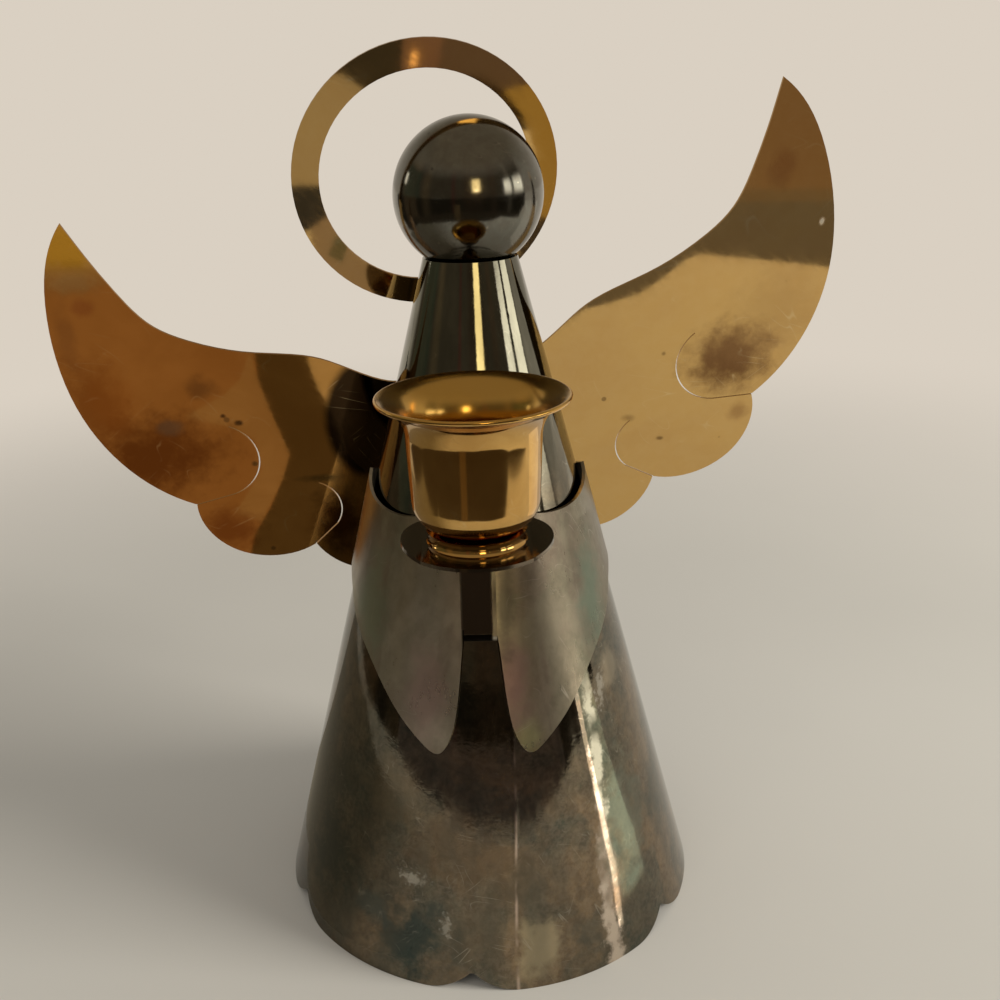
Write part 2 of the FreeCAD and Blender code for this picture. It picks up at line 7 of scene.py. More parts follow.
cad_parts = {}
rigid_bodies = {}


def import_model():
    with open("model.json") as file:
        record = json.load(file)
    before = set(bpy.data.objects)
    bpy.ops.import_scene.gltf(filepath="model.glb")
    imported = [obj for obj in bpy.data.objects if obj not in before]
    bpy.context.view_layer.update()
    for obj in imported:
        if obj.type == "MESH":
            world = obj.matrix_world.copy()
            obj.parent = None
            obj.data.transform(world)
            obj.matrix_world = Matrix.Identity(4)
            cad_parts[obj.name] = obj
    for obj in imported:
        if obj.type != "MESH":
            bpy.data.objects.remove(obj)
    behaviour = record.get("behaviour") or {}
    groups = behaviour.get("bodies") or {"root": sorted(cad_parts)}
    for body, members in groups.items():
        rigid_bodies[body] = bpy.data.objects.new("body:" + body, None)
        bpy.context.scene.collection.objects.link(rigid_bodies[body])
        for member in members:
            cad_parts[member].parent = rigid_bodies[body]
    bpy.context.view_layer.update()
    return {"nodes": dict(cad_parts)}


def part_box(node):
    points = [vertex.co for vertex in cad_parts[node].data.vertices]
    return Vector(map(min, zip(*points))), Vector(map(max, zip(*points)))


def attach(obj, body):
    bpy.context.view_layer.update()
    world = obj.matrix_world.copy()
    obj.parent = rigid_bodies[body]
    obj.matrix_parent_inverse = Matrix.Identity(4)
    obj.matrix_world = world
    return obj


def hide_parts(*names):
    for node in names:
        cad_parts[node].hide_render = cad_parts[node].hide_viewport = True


# A sheet-metal angel with a brass candle cup. Metres, +Z up, the front faces -Y.
MM = 0.001

for leftover in list(bpy.data.objects):
    bpy.data.objects.remove(leftover)
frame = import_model()
nodes = frame["nodes"]
scene = bpy.context.scene
scene.view_settings.view_transform = "Standard"

# The gown's axis and its cone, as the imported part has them
gown_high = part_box("gown")[1]
ball_low, ball_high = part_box("head_ball")
AXIS_X = (ball_low.x + ball_high.x) / 2
AXIS_Y = (ball_low.y + ball_high.y) / 2
GOWN_HEIGHT = gown_high.z
GOWN_BASE_RADIUS = 49.2 * MM
GOWN_NECK_RADIUS = 10.0 * MM
GOWN_SHEET = 0.7 * MM
GOWN_TURN_DEG = -4.7
# Side of the square frame that every pixel place below is counted in
FRAME = 1000


# Camera
def make_camera():
    place = Vector((7.4 * MM, -230.0 * MM, 181.7 * MM))
    turn, drop, roll = -0.0434, 0.3636, -0.0436
    ahead = Vector((math.sin(turn) * math.cos(drop), math.cos(turn) * math.cos(drop), -math.sin(drop)))
    level = Vector((math.cos(turn), -math.sin(turn), 0))
    rise = level.cross(ahead)
    right = math.cos(roll) * level + math.sin(roll) * rise
    up = -math.sin(roll) * level + math.cos(roll) * rise
    data = bpy.data.cameras.new("camera")
    data.sensor_width = 36
    data.lens = 39.84
    data.shift_x, data.shift_y = 0.0583, 0.0094
    data.clip_start = 0.01
    camera = bpy.data.objects.new("camera", data)
    scene.collection.objects.link(camera)
    rows = Matrix((right, up, -ahead)).transposed()
    camera.matrix_world = Matrix.Translation(place) @ rows.to_4x4()
    scene.camera = camera

    def ray(across, down):
        """The way from the lens through a pixel of the frame."""
        sideways = (across / FRAME - 0.5 + data.shift_x) * data.sensor_width / data.lens
        upwards = (0.5 - down / FRAME + data.shift_y) * data.sensor_width / data.lens
        return (ahead + right * sideways + up * upwards).normalized()

    return place, ray


EYE, ray_through = make_camera()
trees = {}


def cast(node, across, down):
    if node not in trees:
        mesh = nodes[node].data
        trees[node] = BVHTree.FromPolygons([v.co for v in mesh.vertices], [p.vertices for p in mesh.polygons])
    return trees[node].ray_cast(EYE, ray_through(across, down))


def seen(node, across, down):
    """The point of a node under a pixel of the photograph."""
    hit = cast(node, across, down)[0]
    if hit is None:
        raise ValueError("no %s under pixel %s, %s" % (node, across, down))
    return hit


PLATE_POINT, PLATE_NORMAL = cast("wing_plate", 160, 400)[:2]


def mirrored(across, down):
    """The place on the table that the flat plate shows at a pixel of the photograph."""
    ray = ray_through(across, down)
    point = EYE + ray * ((PLATE_POINT - EYE).dot(PLATE_NORMAL) / ray.dot(PLATE_NORMAL))
    onward = ray.reflect(PLATE_NORMAL)
    return point - onward * (point.z / onward.z)


# Node trees, written as short sums
class Net:
    def __init__(self, tree):
        self.tree = tree

    def put(self, kind, values=(), out=0, **settings):
        made = self.tree.nodes.new(kind)
        for name, value in settings.items():
            setattr(made, name, value)
        for key, value in dict(values).items():
            self.feed(made.inputs[key], value)
        return made.outputs[out]

    def feed(self, socket, value):
        if isinstance(value, bpy.types.NodeSocket):
            self.tree.links.new(value, socket)
        elif socket.type == "RGBA" and len(value) == 3:
            socket.default_value = (*value, 1)
        else:
            socket.default_value = value

    def math(self, operation, a, b=0.0):
        return self.put("ShaderNodeMath", {0: a, 1: b}, operation=operation)

    def add(self, a, b):
        return self.math("ADD", a, b)

    def sub(self, a, b):
        return self.math("SUBTRACT", a, b)

    def mul(self, a, b):
        return self.math("MULTIPLY", a, b)

    def rise(self, value, low, high, to_low=0.0, to_high=1.0):
        """Smooth step of a value between two levels."""
        return self.put("ShaderNodeMapRange", {0: value, 1: low, 2: high, 3: to_low, 4: to_high},
                        interpolation_type="SMOOTHSTEP")

    def band(self, value, low, high, soft):
        return self.mul(self.rise(value, low - soft, low + soft), self.rise(value, high + soft, high - soft))

    def mix(self, share, a, b):
        """From colour a to colour b."""
        return self.put("ShaderNodeMix", {0: share, 6: a, 7: b}, 2, data_type="RGBA")

    def mix_value(self, share, first, second):
        return self.add(first, self.mul(share, self.sub(second, first)))

    def dot(self, a, b):
        return self.put("ShaderNodeVectorMath", {0: a, 1: b}, 1, operation="DOT_PRODUCT")

    def mapped(self, vector, scale=(1, 1, 1), turn=(0, 0, 0), shift=(0, 0, 0)):
        return self.put("ShaderNodeMapping", {"Vector": vector, "Scale": scale, "Rotation": turn,
                                              "Location": shift})

    def noise(self, vector, scale, detail=3.0, rough=0.55, twist=0.0):
        return self.put("ShaderNodeTexNoise", {"Vector": vector, "Scale": scale, "Detail": detail,
                                               "Roughness": rough, "Distortion": twist})

    def split(self, vector):
        made = self.tree.nodes.new("ShaderNodeSeparateXYZ")
        self.feed(made.inputs[0], vector)
        return made.outputs

    def round_axis(self, x, y):
        """The turn about the gown's axis, from the front, in radians."""
        return self.math("ARCTAN2", self.sub(x, AXIS_X), self.sub(AXIS_Y, y))


def make_group(name, sockets, results, build):
    """A shared effect, built once: inputs with their defaults, None for a vector, and named outputs."""
    tree = bpy.data.node_groups.new(name, "ShaderNodeTree")
    for key, default in sockets.items():
        kind = "NodeSocketVector" if default is None else "NodeSocketFloat"
        socket = tree.interface.new_socket(key, in_out="INPUT", socket_type=kind)
        if default is not None:
            socket.default_value = default
    for key in results:
        tree.interface.new_socket(key, in_out="OUTPUT", socket_type="NodeSocketFloat")
    net = Net(tree)
    inside = tree.nodes.new("NodeGroupInput")
    made = build(net, {key: inside.outputs[key] for key in sockets})
    outside = tree.nodes.new("NodeGroupOutput")
    for key, socket in zip(results, made):
        net.feed(outside.inputs[key], socket)
    return tree


def clouds(net, given):
    """Tarnish: large soft clouds, and a finer mottling inside them."""
    large = net.noise(given["Vector"], given["Scale"], 4.0, 0.55, 0.6)
    small = net.noise(given["Vector"], net.mul(given["Scale"], 7.0), 5.0, 0.65, 0.3)
    low = net.sub(0.5, given["Softness"])
    high = net.add(0.5, given["Softness"])
    return net.rise(net.add(large, given["Amount"]), low, high), net.rise(small, 0.35, 0.65)


def rubbing(net, given):
    """Marks of rubbing or rolling: noise drawn out along the piece's Z, after the mapping."""
    fine = net.noise(net.mapped(given["Vector"], (1, 1, 0.03)), given["Scale"], 3.0, 0.6)
    broad = net.noise(net.mapped(given["Vector"], (1, 1, 0.12)), net.mul(given["Scale"], 0.2), 2.0, 0.5)
    return net.rise(fine, 0.3, 0.7), net.rise(broad, 0.35, 0.65)


def scratches(net, given):
    """Thin bright scratches in two slants, broken up by clouds."""
    total = None
    for slant, shift in ((0.55, 0.0), (-0.85, 0.7), (1.3, 1.9)):
        turned = net.mapped(given["Vector"], turn=(0, slant, 0), shift=(shift, shift, shift))
        line = net.noise(net.mapped(turned, (1, 1, 0.012)), given["Scale"], 0.0)
        thin = net.rise(net.math("ABSOLUTE", net.sub(line, 0.5)), 0.012, 0.0)
        where = net.rise(net.noise(turned, net.mul(given["Scale"], 0.35), 2.0), 0.55, 0.68)
        thin = net.mul(thin, where)
        total = thin if total is None else net.math("MAXIMUM", total, thin)
    return (total,)


def specks(net, given):
    """Small round spots of uneven size."""
    cell = net.tree.nodes.new("ShaderNodeTexVoronoi")
    net.feed(cell.inputs["Vector"], given["Vector"])
    net.feed(cell.inputs["Scale"], given["Scale"])
    size = net.mul(net.split(cell.outputs["Color"])[0], given["Size"])
    few = net.rise(net.split(cell.outputs["Color"])[1], 0.55, 0.6)
    return (net.mul(net.rise(net.sub(cell.outputs["Distance"], size), 0.03, 0.0), few),)


def patch(net, given):
    """One placed mark with a ragged edge: 1 in its middle, 0 outside its radius."""
    away = net.put("ShaderNodeVectorMath", {0: given["Vector"], 1: given["Centre"]}, operation="SUBTRACT")
    away = net.put("ShaderNodeVectorMath", {0: away, 1: given["Radius"]}, operation="DIVIDE")
    length = net.put("ShaderNodeVectorMath", {0: away}, out=1, operation="LENGTH")
    ragged = net.mul(net.sub(net.noise(given["Vector"], given["Scale"], 4.0, 0.6), 0.5), given["Ragged"])
    return (net.rise(net.add(length, ragged), 1.0, net.sub(1.0, given["Soft"])),)


def waves(net, given):
    """The slow unevenness of thin sheet, as a height in metres."""
    slow = net.noise(given["Vector"], given["Scale"], 1.0, 0.4)
    return (net.mul(net.sub(slow, 0.5), given["Height"]),)


CLOUDS = make_group("tarnish clouds", {"Vector": None, "Scale": 40.0, "Amount": 0.0, "Softness": 0.1},
                    ["Clouds", "Mottling"], clouds)
RUBBING = make_group("rub marks", {"Vector": None, "Scale": 900.0}, ["Fine", "Broad"], rubbing)
SCRATCHES = make_group("scratches", {"Vector": None, "Scale": 260.0}, ["Lines"], scratches)
SPECKS = make_group("specks", {"Vector": None, "Scale": 120.0, "Size": 0.2}, ["Spots"], specks)
PATCH = make_group("placed patch", {"Vector": None, "Centre": None, "Radius": None, "Scale": 150.0,
                                    "Ragged": 0.6, "Soft": 0.5}, ["Mask"], patch)
WAVES = make_group("sheet waves", {"Vector": None, "Scale": 30.0, "Height": 0.0001}, ["Height"], waves)


class Finish(Net):
    """One metal: a Principled shader with the shared effects feeding it."""

    def __init__(self, name, roughness=0.1, metallic=1.0):
        self.material = bpy.data.materials.new(name)
        self.material.use_nodes = True
        super().__init__(self.material.node_tree)
        self.shader = self.tree.nodes["Principled BSDF"]
        self.shader.inputs["Metallic"].default_value = metallic
        self.shader.inputs["Roughness"].default_value = roughness
        self.vector = self.put("ShaderNodeTexCoord", out=3)
        self.height = None

    def use(self, tree, values=(), out=0, vector=None):
        made = self.tree.nodes.new("ShaderNodeGroup")
        made.node_tree = tree
        self.feed(made.inputs["Vector"], vector or self.vector)
        for key, value in dict(values).items():
            self.feed(made.inputs[key], value)
        return made.outputs[out]

    def patch(self, place, radius, **settings):
        values = {"Centre": tuple(place), "Radius": tuple(side * MM for side in radius)}
        values.update(settings)
        return self.use(PATCH, values)

    def marks(self, node, colour, table, **settings):
        """Placed patches: pixel of the photograph, radius in mm along X, Y and Z, share, colour."""
        for place, radius, share, tint in table:
            mask = self.patch(seen(node, *place), radius, **settings)
            colour = self.mix(self.mul(mask, share), colour, tint)
        return colour

    def both(self, tree, values=(), vector=None):
        """Both results of a shared effect."""
        first = self.use(tree, values, 0, vector)
        return first, first.node.outputs[1]

    def lift(self, height):
        self.height = height if self.height is None else self.add(self.height, height)

    def done(self, colour, roughness=None):
        self.feed(self.shader.inputs["Base Color"], colour)
        if roughness is not None:
            self.feed(self.shader.inputs["Roughness"], roughness)
        if self.height is not None:
            bump = self.put("ShaderNodeBump", {"Height": self.height, "Distance": 1.0, "Strength": 1.0})
            self.feed(self.shader.inputs["Normal"], bump)
        return self.material


# Materials
def gown_finish():
    net = Finish("gown sheet")
    x, y, z = net.split(net.vector)
    high = net.rise(z, 0.08, 0.125)
    large, small = net.both(CLOUDS, {"Scale": 27.0, "Amount": 0.0, "Softness": 0.07})
    second, third = net.both(CLOUDS, {"Scale": 50.0, "Amount": -0.01, "Softness": 0.05},
                             net.mapped(net.vector, shift=(0.3, 0.1, 0.2)))
    speckle = net.rise(net.noise(net.vector, 900.0, 4.0, 0.7), 0.38, 0.62)
    fine, broad = net.both(RUBBING, {"Scale": 700.0})
    colour = net.mix(large, (0.10, 0.10, 0.072), (0.28, 0.20, 0.122))
    colour = net.mix(net.mul(second, 0.75), colour, (0.08, 0.10, 0.085))
    colour = net.mix(net.mul(small, 0.45), colour, (0.31, 0.235, 0.15))
    colour = net.mix(net.mul(third, 0.5), colour, (0.10, 0.075, 0.055))
    colour = net.mix(net.mul(speckle, 0.22), colour, (0.40, 0.33, 0.25))
    colour = net.marks("gown", colour, (
        ((540, 950), (7, 12, 9), 0.85, (0.50, 0.42, 0.27)),
        ((609, 667), (3.6, 7, 5.5), 0.9, (0.42, 0.35, 0.25)),
        ((412, 938), (12, 14, 11), 0.9, (0.046, 0.066, 0.062)),
        ((372, 905), (5, 10, 5), 0.6, (0.11, 0.14, 0.13)),
        ((330, 850), (14, 10, 14), 0.8, (0.055, 0.07, 0.06)),
        ((345, 770), (7, 10, 9), 0.55, (0.08, 0.085, 0.065)),
        ((395, 795), (12, 10, 10), 0.5, (0.27, 0.21, 0.135)),
        ((465, 855), (18, 14, 10), 0.6, (0.17, 0.115, 0.068)),
        ((475, 940), (9, 14, 9), 0.45, (0.17, 0.135, 0.09)),
        ((318, 915), (6, 10, 8), 0.5, (0.20, 0.16, 0.11)),
        ((590, 930), (5, 10, 5), 0.5, (0.10, 0.115, 0.10)),
        ((520, 890), (9, 12, 6), 0.5, (0.12, 0.095, 0.065)),
        ((624, 820), (8, 12, 20), 0.55, (0.28, 0.31, 0.245)),
        ((655, 790), (4, 12, 12), 0.55, (0.09, 0.10, 0.08))), Ragged=2.0, Scale=210.0, Soft=0.75)
    # Small bright rubs
    colour = net.marks("gown", colour, (
        ((412, 878), (4.0, 6, 1.8), 0.6, (0.62, 0.58, 0.50)),
        ((446, 927), (1.5, 6, 3.2), 0.6, (0.62, 0.58, 0.50)),
        ((600, 690), (1.3, 6, 4.5), 0.6, (0.62, 0.58, 0.50))), Ragged=3.2, Scale=900.0, Soft=0.8)
    colour = net.mix(high, colour, (0.24, 0.235, 0.185))
    colour = net.mix(net.mul(broad, 0.4), colour, (0.10, 0.10, 0.08))
    lines = net.use(SCRATCHES, {"Scale": 420.0})
    colour = net.mix(net.mul(lines, 0.45), colour, (0.50, 0.46, 0.38))
    colour = net.mix(net.mul(net.mul(fine, high), 0.35), colour, (0.12, 0.115, 0.09))
    # Painted shade: the gown's left side, away from the window light, is painted darker
    left = net.rise(x, AXIS_X - 0.008, AXIS_X - 0.034)
    colour = net.mix(net.mul(left, 0.45), colour, (0.075, 0.07, 0.05))
    rough = net.rise(z, 0.015, 0.06, 0.075, 0.045)
    rough = net.add(rough, net.mul(small, 0.02))
    rough = net.add(rough, net.mul(net.mul(large, net.sub(1.0, high)), 0.02))
    rough = net.add(rough, net.mul(net.sub(fine, 0.5), 0.04))
    # Two shallow folds run down the front of the sheet
    turn = net.round_axis(x, y)
    near = net.sub(turn, net.rise(z, 0.0, 0.062, math.radians(7.0), math.radians(10.5)))
    wide = net.sub(turn, math.radians(37.5))
    for away, half_deg, fold, top in ((near, 1.3, 0.00006, 0.075), (wide, 5.0, 0.00008, 0.085)):
        ridge = net.rise(net.math("ABSOLUTE", away), math.radians(half_deg), 0)
        net.lift(net.mul(net.mul(ridge, net.rise(z, top, top - 0.03)), fold))
    # Painted highlight: a thin bright line along the near fold, broken up by noise
    line = net.mul(net.rise(net.math("ABSOLUTE", near), math.radians(0.7), 0), net.rise(z, 0.075, 0.06))
    highlight_breaks = net.rise(net.noise(net.vector, 120.0, 2.0), 0.42, 0.62)
    colour = net.mix(net.mul(net.mul(line, highlight_breaks), 0.6), colour, (0.75, 0.60, 0.50))
    # Painted highlight: a bright streak beside the wide fold that moves outward lower down, broken up by
    # noise
    streak_highlight = net.sub(turn, net.rise(z, 0.008, 0.062, math.radians(35.0), math.radians(42.3)))
    streak_highlight = net.add(streak_highlight, net.mul(net.sub(net.noise(net.vector, 330.0, 5.0, 0.65), 0.5), 0.15))
    streak_highlight = net.rise(net.math("ABSOLUTE", streak_highlight), math.radians(3.2), math.radians(0.8))
    streak_highlight = net.mul(streak_highlight, net.rise(z, 0.066, 0.055))
    dull = net.rise(net.noise(net.vector, 75.0, 3.0), 0.36, 0.54)
    colour = net.mix(net.mul(net.mul(streak_highlight, dull), 0.85), colour, (0.80, 0.68, 0.56))
    net.lift(net.use(WAVES, {"Scale": 26.0, "Height": 0.00015}))
    net.lift(net.mul(fine, 0.000001))
    net.lift(net.mul(small, 0.000004))
    return net.done(colour, rough)


def cape_finish():
    net = Finish("cape sheet")
    x, y, z = net.split(net.vector)
    large, small = net.both(CLOUDS, {"Scale": 45.0, "Amount": 0.0, "Softness": 0.14})
    fine, broad = net.both(RUBBING, {"Scale": 1100.0})
    right = net.rise(x, AXIS_X - 0.006, AXIS_X + 0.012)
    colour = net.mix(right, net.mix(large, (0.47, 0.44, 0.35), (0.58, 0.54, 0.44)),
                     net.mix(large, (0.20, 0.18, 0.13), (0.27, 0.24, 0.18)))
    colour = net.mix(net.mul(broad, 0.15), colour, (0.22, 0.20, 0.165))
    colour = net.mix(net.mul(small, 0.3), colour, (0.33, 0.29, 0.22))
    second, third = net.both(CLOUDS, {"Scale": 85.0, "Amount": -0.02, "Softness": 0.06},
                             net.mapped(net.vector, (1, 1, 0.5), shift=(0.2, 0.5, 0.1)))
    colour = net.mix(net.mul(second, 0.35), colour, (0.24, 0.17, 0.145))
    colour = net.mix(net.mul(third, 0.2), colour, (0.42, 0.39, 0.30))
    colour = net.marks("cape", colour, (
        ((425, 700), (6, 9, 16), 0.6, (0.60, 0.44, 0.40)),
        ((512, 690), (5, 9, 18), 0.7, (0.33, 0.21, 0.23)),
        ((372, 600), (6, 9, 18), 0.7, (0.36, 0.44, 0.34)),
        ((590, 590), (5, 9, 18), 0.7, (0.19, 0.26, 0.20)),
        ((530, 738), (5, 9, 5), 0.6, (0.45, 0.45, 0.24)),
        ((415, 612), (4, 9, 2.5), 0.25, (0.62, 0.58, 0.50)),
        ((504, 604), (3.0, 9, 19), 0.75, (0.085, 0.083, 0.08))), Ragged=1.4, Soft=0.8)
    lines = net.use(SCRATCHES, {"Scale": 300.0})
    colour = net.mix(net.mul(lines, 0.35), colour, (0.66, 0.62, 0.54))
    rough = net.add(0.26, net.mul(fine, 0.05))
    rough = net.add(rough, net.mul(large, 0.05))
    # The shelf under the cup and the tab below it are darker
    shelf_top, bend = seen("cape", 415, 538).z, AXIS_Y - 26.2 * MM
    shelf = net.mul(net.band(z, shelf_top - 1.2 * MM, shelf_top + 0.4 * MM, 0.1 * MM),
                    net.rise(y, bend, bend - 0.6 * MM))
    colour = net.mix(shelf, colour, (0.19, 0.155, 0.115))
    rough = net.mix_value(shelf, rough, 0.14)
    tab_low, tab_high = seen("cape", 459, 632), seen("cape", 491, 566)
    tab = net.mul(net.band(x, tab_low.x + 0.6 * MM, tab_high.x, 0.3 * MM),
                  net.rise(z, tab_high.z + 4 * MM, tab_high.z))
    colour = net.mix(tab, colour, (0.12, 0.10, 0.08))
    rough = net.mix_value(tab, rough, 0.1)
    # Painted shadow: the lower end face of the tab is painted near black
    tab_end_shadow = net.mul(tab, net.rise(z, tab_low.z + 0.6 * MM, tab_low.z + 0.3 * MM))
    colour = net.mix(tab_end_shadow, colour, (0.004, 0.003, 0.002))
    rough = net.mix_value(tab_end_shadow, rough, 0.6)
    net.lift(net.use(WAVES, {"Scale": 35.0, "Height": 0.00012}))
    return net.done(colour, rough)


def wing_finish():
    net = Finish("wing brass")
    large, small = net.both(CLOUDS, {"Scale": 38.0, "Amount": -0.02, "Softness": 0.2})
    fine = net.use(RUBBING, {"Scale": 800.0}, 0, net.mapped(net.vector, turn=(0, 0.8, 0)))
    x, _, z = net.split(net.vector)
    colour = net.mix(large, (0.71, 0.455, 0.165), (0.66, 0.41, 0.15))
    colour = net.mix(net.mul(small, 0.25), colour, (0.74, 0.50, 0.21))
    # The left wing is tinted deeper orange-brown: partly tarnish, partly a painted reflection of the darker
    # room on that side
    left = net.mul(net.rise(x, AXIS_X - 0.016, AXIS_X - 0.03),
                   net.math("MAXIMUM",
                            net.rise(z, seen("wing_plate", 390, 288).z, seen("wing_plate", 300, 365).z),
                            net.rise(x, AXIS_X - 0.045, AXIS_X - 0.055)))
    colour = net.mix(net.mul(left, 0.8), colour, net.mix(large, (0.52, 0.24, 0.05), (0.70, 0.36, 0.095)))
    rough = net.add(0.035, net.mul(fine, 0.025))
    # The marks lie on the front face. Most are tarnish, rubs and pits; the near-black one beside the gown,
    # with a clean edge, is a painted reflection of the gown, and the large red-brown ones on the left wing
    # are partly tarnish, partly painted reflection
    level = net.dot(net.put("ShaderNodeNewGeometry").node.outputs["True Normal"], tuple(PLATE_NORMAL))
    front = net.rise(level, 0.3, 0.6)
    for place, radius, share, tint, dull in (
            ((66, 248), (11, 9, 9), 1.0, (0.57, 0.28, 0.03), 0.0),
            ((72, 283), (9, 9, 4), 0.6, (0.40, 0.25, 0.10), 0.10),
            ((372, 418), (12.5, 9, 21), 0.97, (0.025, 0.015, 0.008), 0.03),
            ((322, 478), (7, 9, 1.6), 0.6, (0.10, 0.085, 0.035), 0.06),
            ((340, 522), (9, 9, 14), 1.0, (0.15, 0.06, 0.015), 0.0),
            ((230, 530), (11, 9, 10), 0.8, (0.30, 0.11, 0.025), 0.03),
            ((155, 458), (24, 9, 17), 1.0, (0.27, 0.11, 0.026), 0.03),
            ((95, 408), (9, 9, 18), 0.7, (0.36, 0.15, 0.035), 0.03),
            ((66, 340), (3.5, 9, 10), 0.45, (0.38, 0.19, 0.07), 0.03),
            ((82, 308), (3.5, 9, 3), 0.5, (0.42, 0.15, 0.05), 0.05),
            ((200, 388), (5, 9, 4), 0.6, (0.22, 0.11, 0.04), 0.05),
            ((170, 428), (4.5, 9, 3), 0.45, (0.25, 0.22, 0.17), 0.08),
            ((110, 400), (9, 9, 12), 0.35, (0.55, 0.22, 0.04), 0.0),
            ((775, 310), (16, 9, 16), 0.4, (0.50, 0.31, 0.115), 0.0),
            ((729, 358), (14, 9, 13), 1.0, (0.20, 0.10, 0.04), 0.12),
            ((745, 345), (15, 9, 8), 0.35, (0.42, 0.24, 0.10), 0.08),
            ((782, 168), (4.5, 9, 6), 0.55, (0.46, 0.22, 0.08), 0.05),
            ((738, 410), (3.6, 9, 3.6), 0.6, (0.36, 0.19, 0.07), 0.06),
            ((660, 438), (1.4, 9, 0.8), 0.7, (0.15, 0.08, 0.03), 0.1),
            ((628, 418), (2.2, 9, 1.4), 0.5, (0.25, 0.14, 0.05), 0.1),
            ((223, 416), (1.0, 9, 0.9), 0.85, (0.08, 0.045, 0.02), 0.15),
            ((239, 423), (1.3, 9, 1.0), 0.85, (0.08, 0.045, 0.02), 0.15),
            ((255, 464), (1.1, 9, 1.0), 0.7, (0.10, 0.06, 0.02), 0.15),
            ((822, 221), (0.9, 9, 1.3), 0.9, (0.85, 0.80, 0.68), 0.3)):
        ragged, soft = (0.05, 0.2) if tint[0] < 0.03 else (1.0, 0.8)
        mask = net.patch(seen("wing_plate", *place), radius, Ragged=ragged, Scale=240.0, Soft=soft)
        mask = net.mul(mask, front)
        colour = net.mix(net.mul(mask, share), colour, tint)
        if dull:
            rough = net.add(rough, net.mul(mask, dull))
    # The grooves and the sawn edges are duller than the faces
    edge = net.rise(net.math("ABSOLUTE", level), 0.97, 0.85)
    colour = net.mix(net.mul(edge, 0.6), colour, (0.34, 0.20, 0.08))
    rough = net.add(rough, net.mul(edge, 0.12))
    lines = net.use(SCRATCHES, {"Scale": 260.0}, 0, net.mapped(net.vector, shift=(0.21, 0.4, 0.13)))
    colour = net.mix(net.mul(lines, 0.3), colour, (0.85, 0.68, 0.38))
    dots = net.use(SPECKS, {"Scale": 95.0, "Size": 0.09})
    colour = net.mix(net.mul(dots, 0.6), colour, (0.16, 0.09, 0.035))
    net.lift(net.use(WAVES, {"Scale": 22.0, "Height": 0.00004}))
    net.lift(net.mul(fine, 0.0000003))
    return net.done(colour, rough)


def turned_brass(name, light, dark, roughness, wave):
    """Brass turned on a lathe: fine rings, a few stains."""
    net = Finish(name)
    large, small = net.both(CLOUDS, {"Scale": 90.0, "Amount": -0.04, "Softness": 0.16})
    rings = net.use(RUBBING, {"Scale": 500.0}, 0, net.mapped(net.vector, scale=(0.03, 0.03, 20.0)))
    colour = net.mix(large, light, dark)
    colour = net.mix(net.mul(small, 0.25), colour, dark)
    lines = net.use(SCRATCHES, {"Scale": 420.0})
    colour = net.mix(net.mul(lines, 0.3), colour, (0.9, 0.75, 0.45))
    rough = net.add(roughness, net.mul(rings, roughness * 0.3))
    # The hollow of the bowl and the face of its flare are duller than the outside
    cup_low, cup_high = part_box("candle_cup")
    middle = ((cup_low.x + cup_high.x) / 2, (cup_low.y + cup_high.y) / 2, 0)
    face = net.put("ShaderNodeNewGeometry").node.outputs["True Normal"]
    reach = net.put("ShaderNodeVectorMath", {0: net.vector, 1: middle}, operation="SUBTRACT")
    reach = net.put("ShaderNodeVectorMath", {0: reach, 1: (1, 1, 0)}, operation="MULTIPLY")
    outward = net.dot(reach, face)
    hollow = net.math("MAXIMUM", net.rise(outward, 0.0005, -0.0005), net.rise(net.split(face)[2], 0.1, 0.35))
    hollow = net.mul(hollow, net.rise(net.split(net.vector)[2], cup_low.z + 0.002, cup_low.z + 0.003))
    rough = net.mix_value(hollow, rough, 0.2)
    colour = net.mix(hollow, colour, (0.66, 0.40, 0.105))
    net.lift(net.use(WAVES, {"Scale": 60.0, "Height": wave}))
    net.lift(net.mul(rings, 0.0000008))
    return net.done(colour, rough)


def head_finish():
    net = Finish("head gunmetal")
    large, small = net.both(CLOUDS, {"Scale": 70.0, "Amount": 0.0, "Softness": 0.15})
    colour = net.mix(large, (0.17, 0.17, 0.145), (0.21, 0.20, 0.165))
    colour = net.mix(net.mul(small, 0.35), colour, (0.13, 0.105, 0.085))
    lines = net.use(SCRATCHES, {"Scale": 500.0})
    colour = net.mix(net.mul(lines, 0.35), colour, (0.4, 0.38, 0.33))
    dust = net.use(SPECKS, {"Scale": 420.0, "Size": 0.1}, 0, net.mapped(net.vector, shift=(0.3, 0.2, 0.1)))
    colour = net.mix(net.mul(dust, 0.5), colour, (0.42, 0.38, 0.30))
    dots = net.use(SPECKS, {"Scale": 260.0, "Size": 0.16})
    colour = net.mix(net.mul(dots, 0.5), colour, (0.05, 0.045, 0.04))
    # Painted shade: the underside of the ball is painted darker
    below = net.rise(net.split(net.vector)[2], ball_low.z + 0.012, ball_low.z + 0.002)
    colour = net.mix(net.mul(below, 0.75), colour, (0.065, 0.05, 0.03))
    rough = net.add(0.10, net.mul(small, 0.05))
    net.lift(net.use(WAVES, {"Scale": 90.0, "Height": 0.00002}))
    return net.done(colour, rough)


def fixing_finish(name, light, dark, roughness):
    """Small fasteners: plain metal with tarnish clouds, light scratches and uneven roughness."""
    net = Finish(name)
    large, small = net.both(CLOUDS, {"Scale": 260.0, "Amount": 0.0, "Softness": 0.15})
    colour = net.mix(large, light, dark)
    lines = net.use(SCRATCHES, {"Scale": 900.0})
    colour = net.mix(net.mul(lines, 0.3), colour, tuple(min(1, part * 1.4) for part in light))
    net.lift(net.mul(small, 0.000004))
    return net.done(colour, net.add(roughness, net.mul(small, 0.12)))


def dress(material, *names):
    for name in names:
        slots = nodes[name].data.materials
        slots.clear()
        slots.append(material)


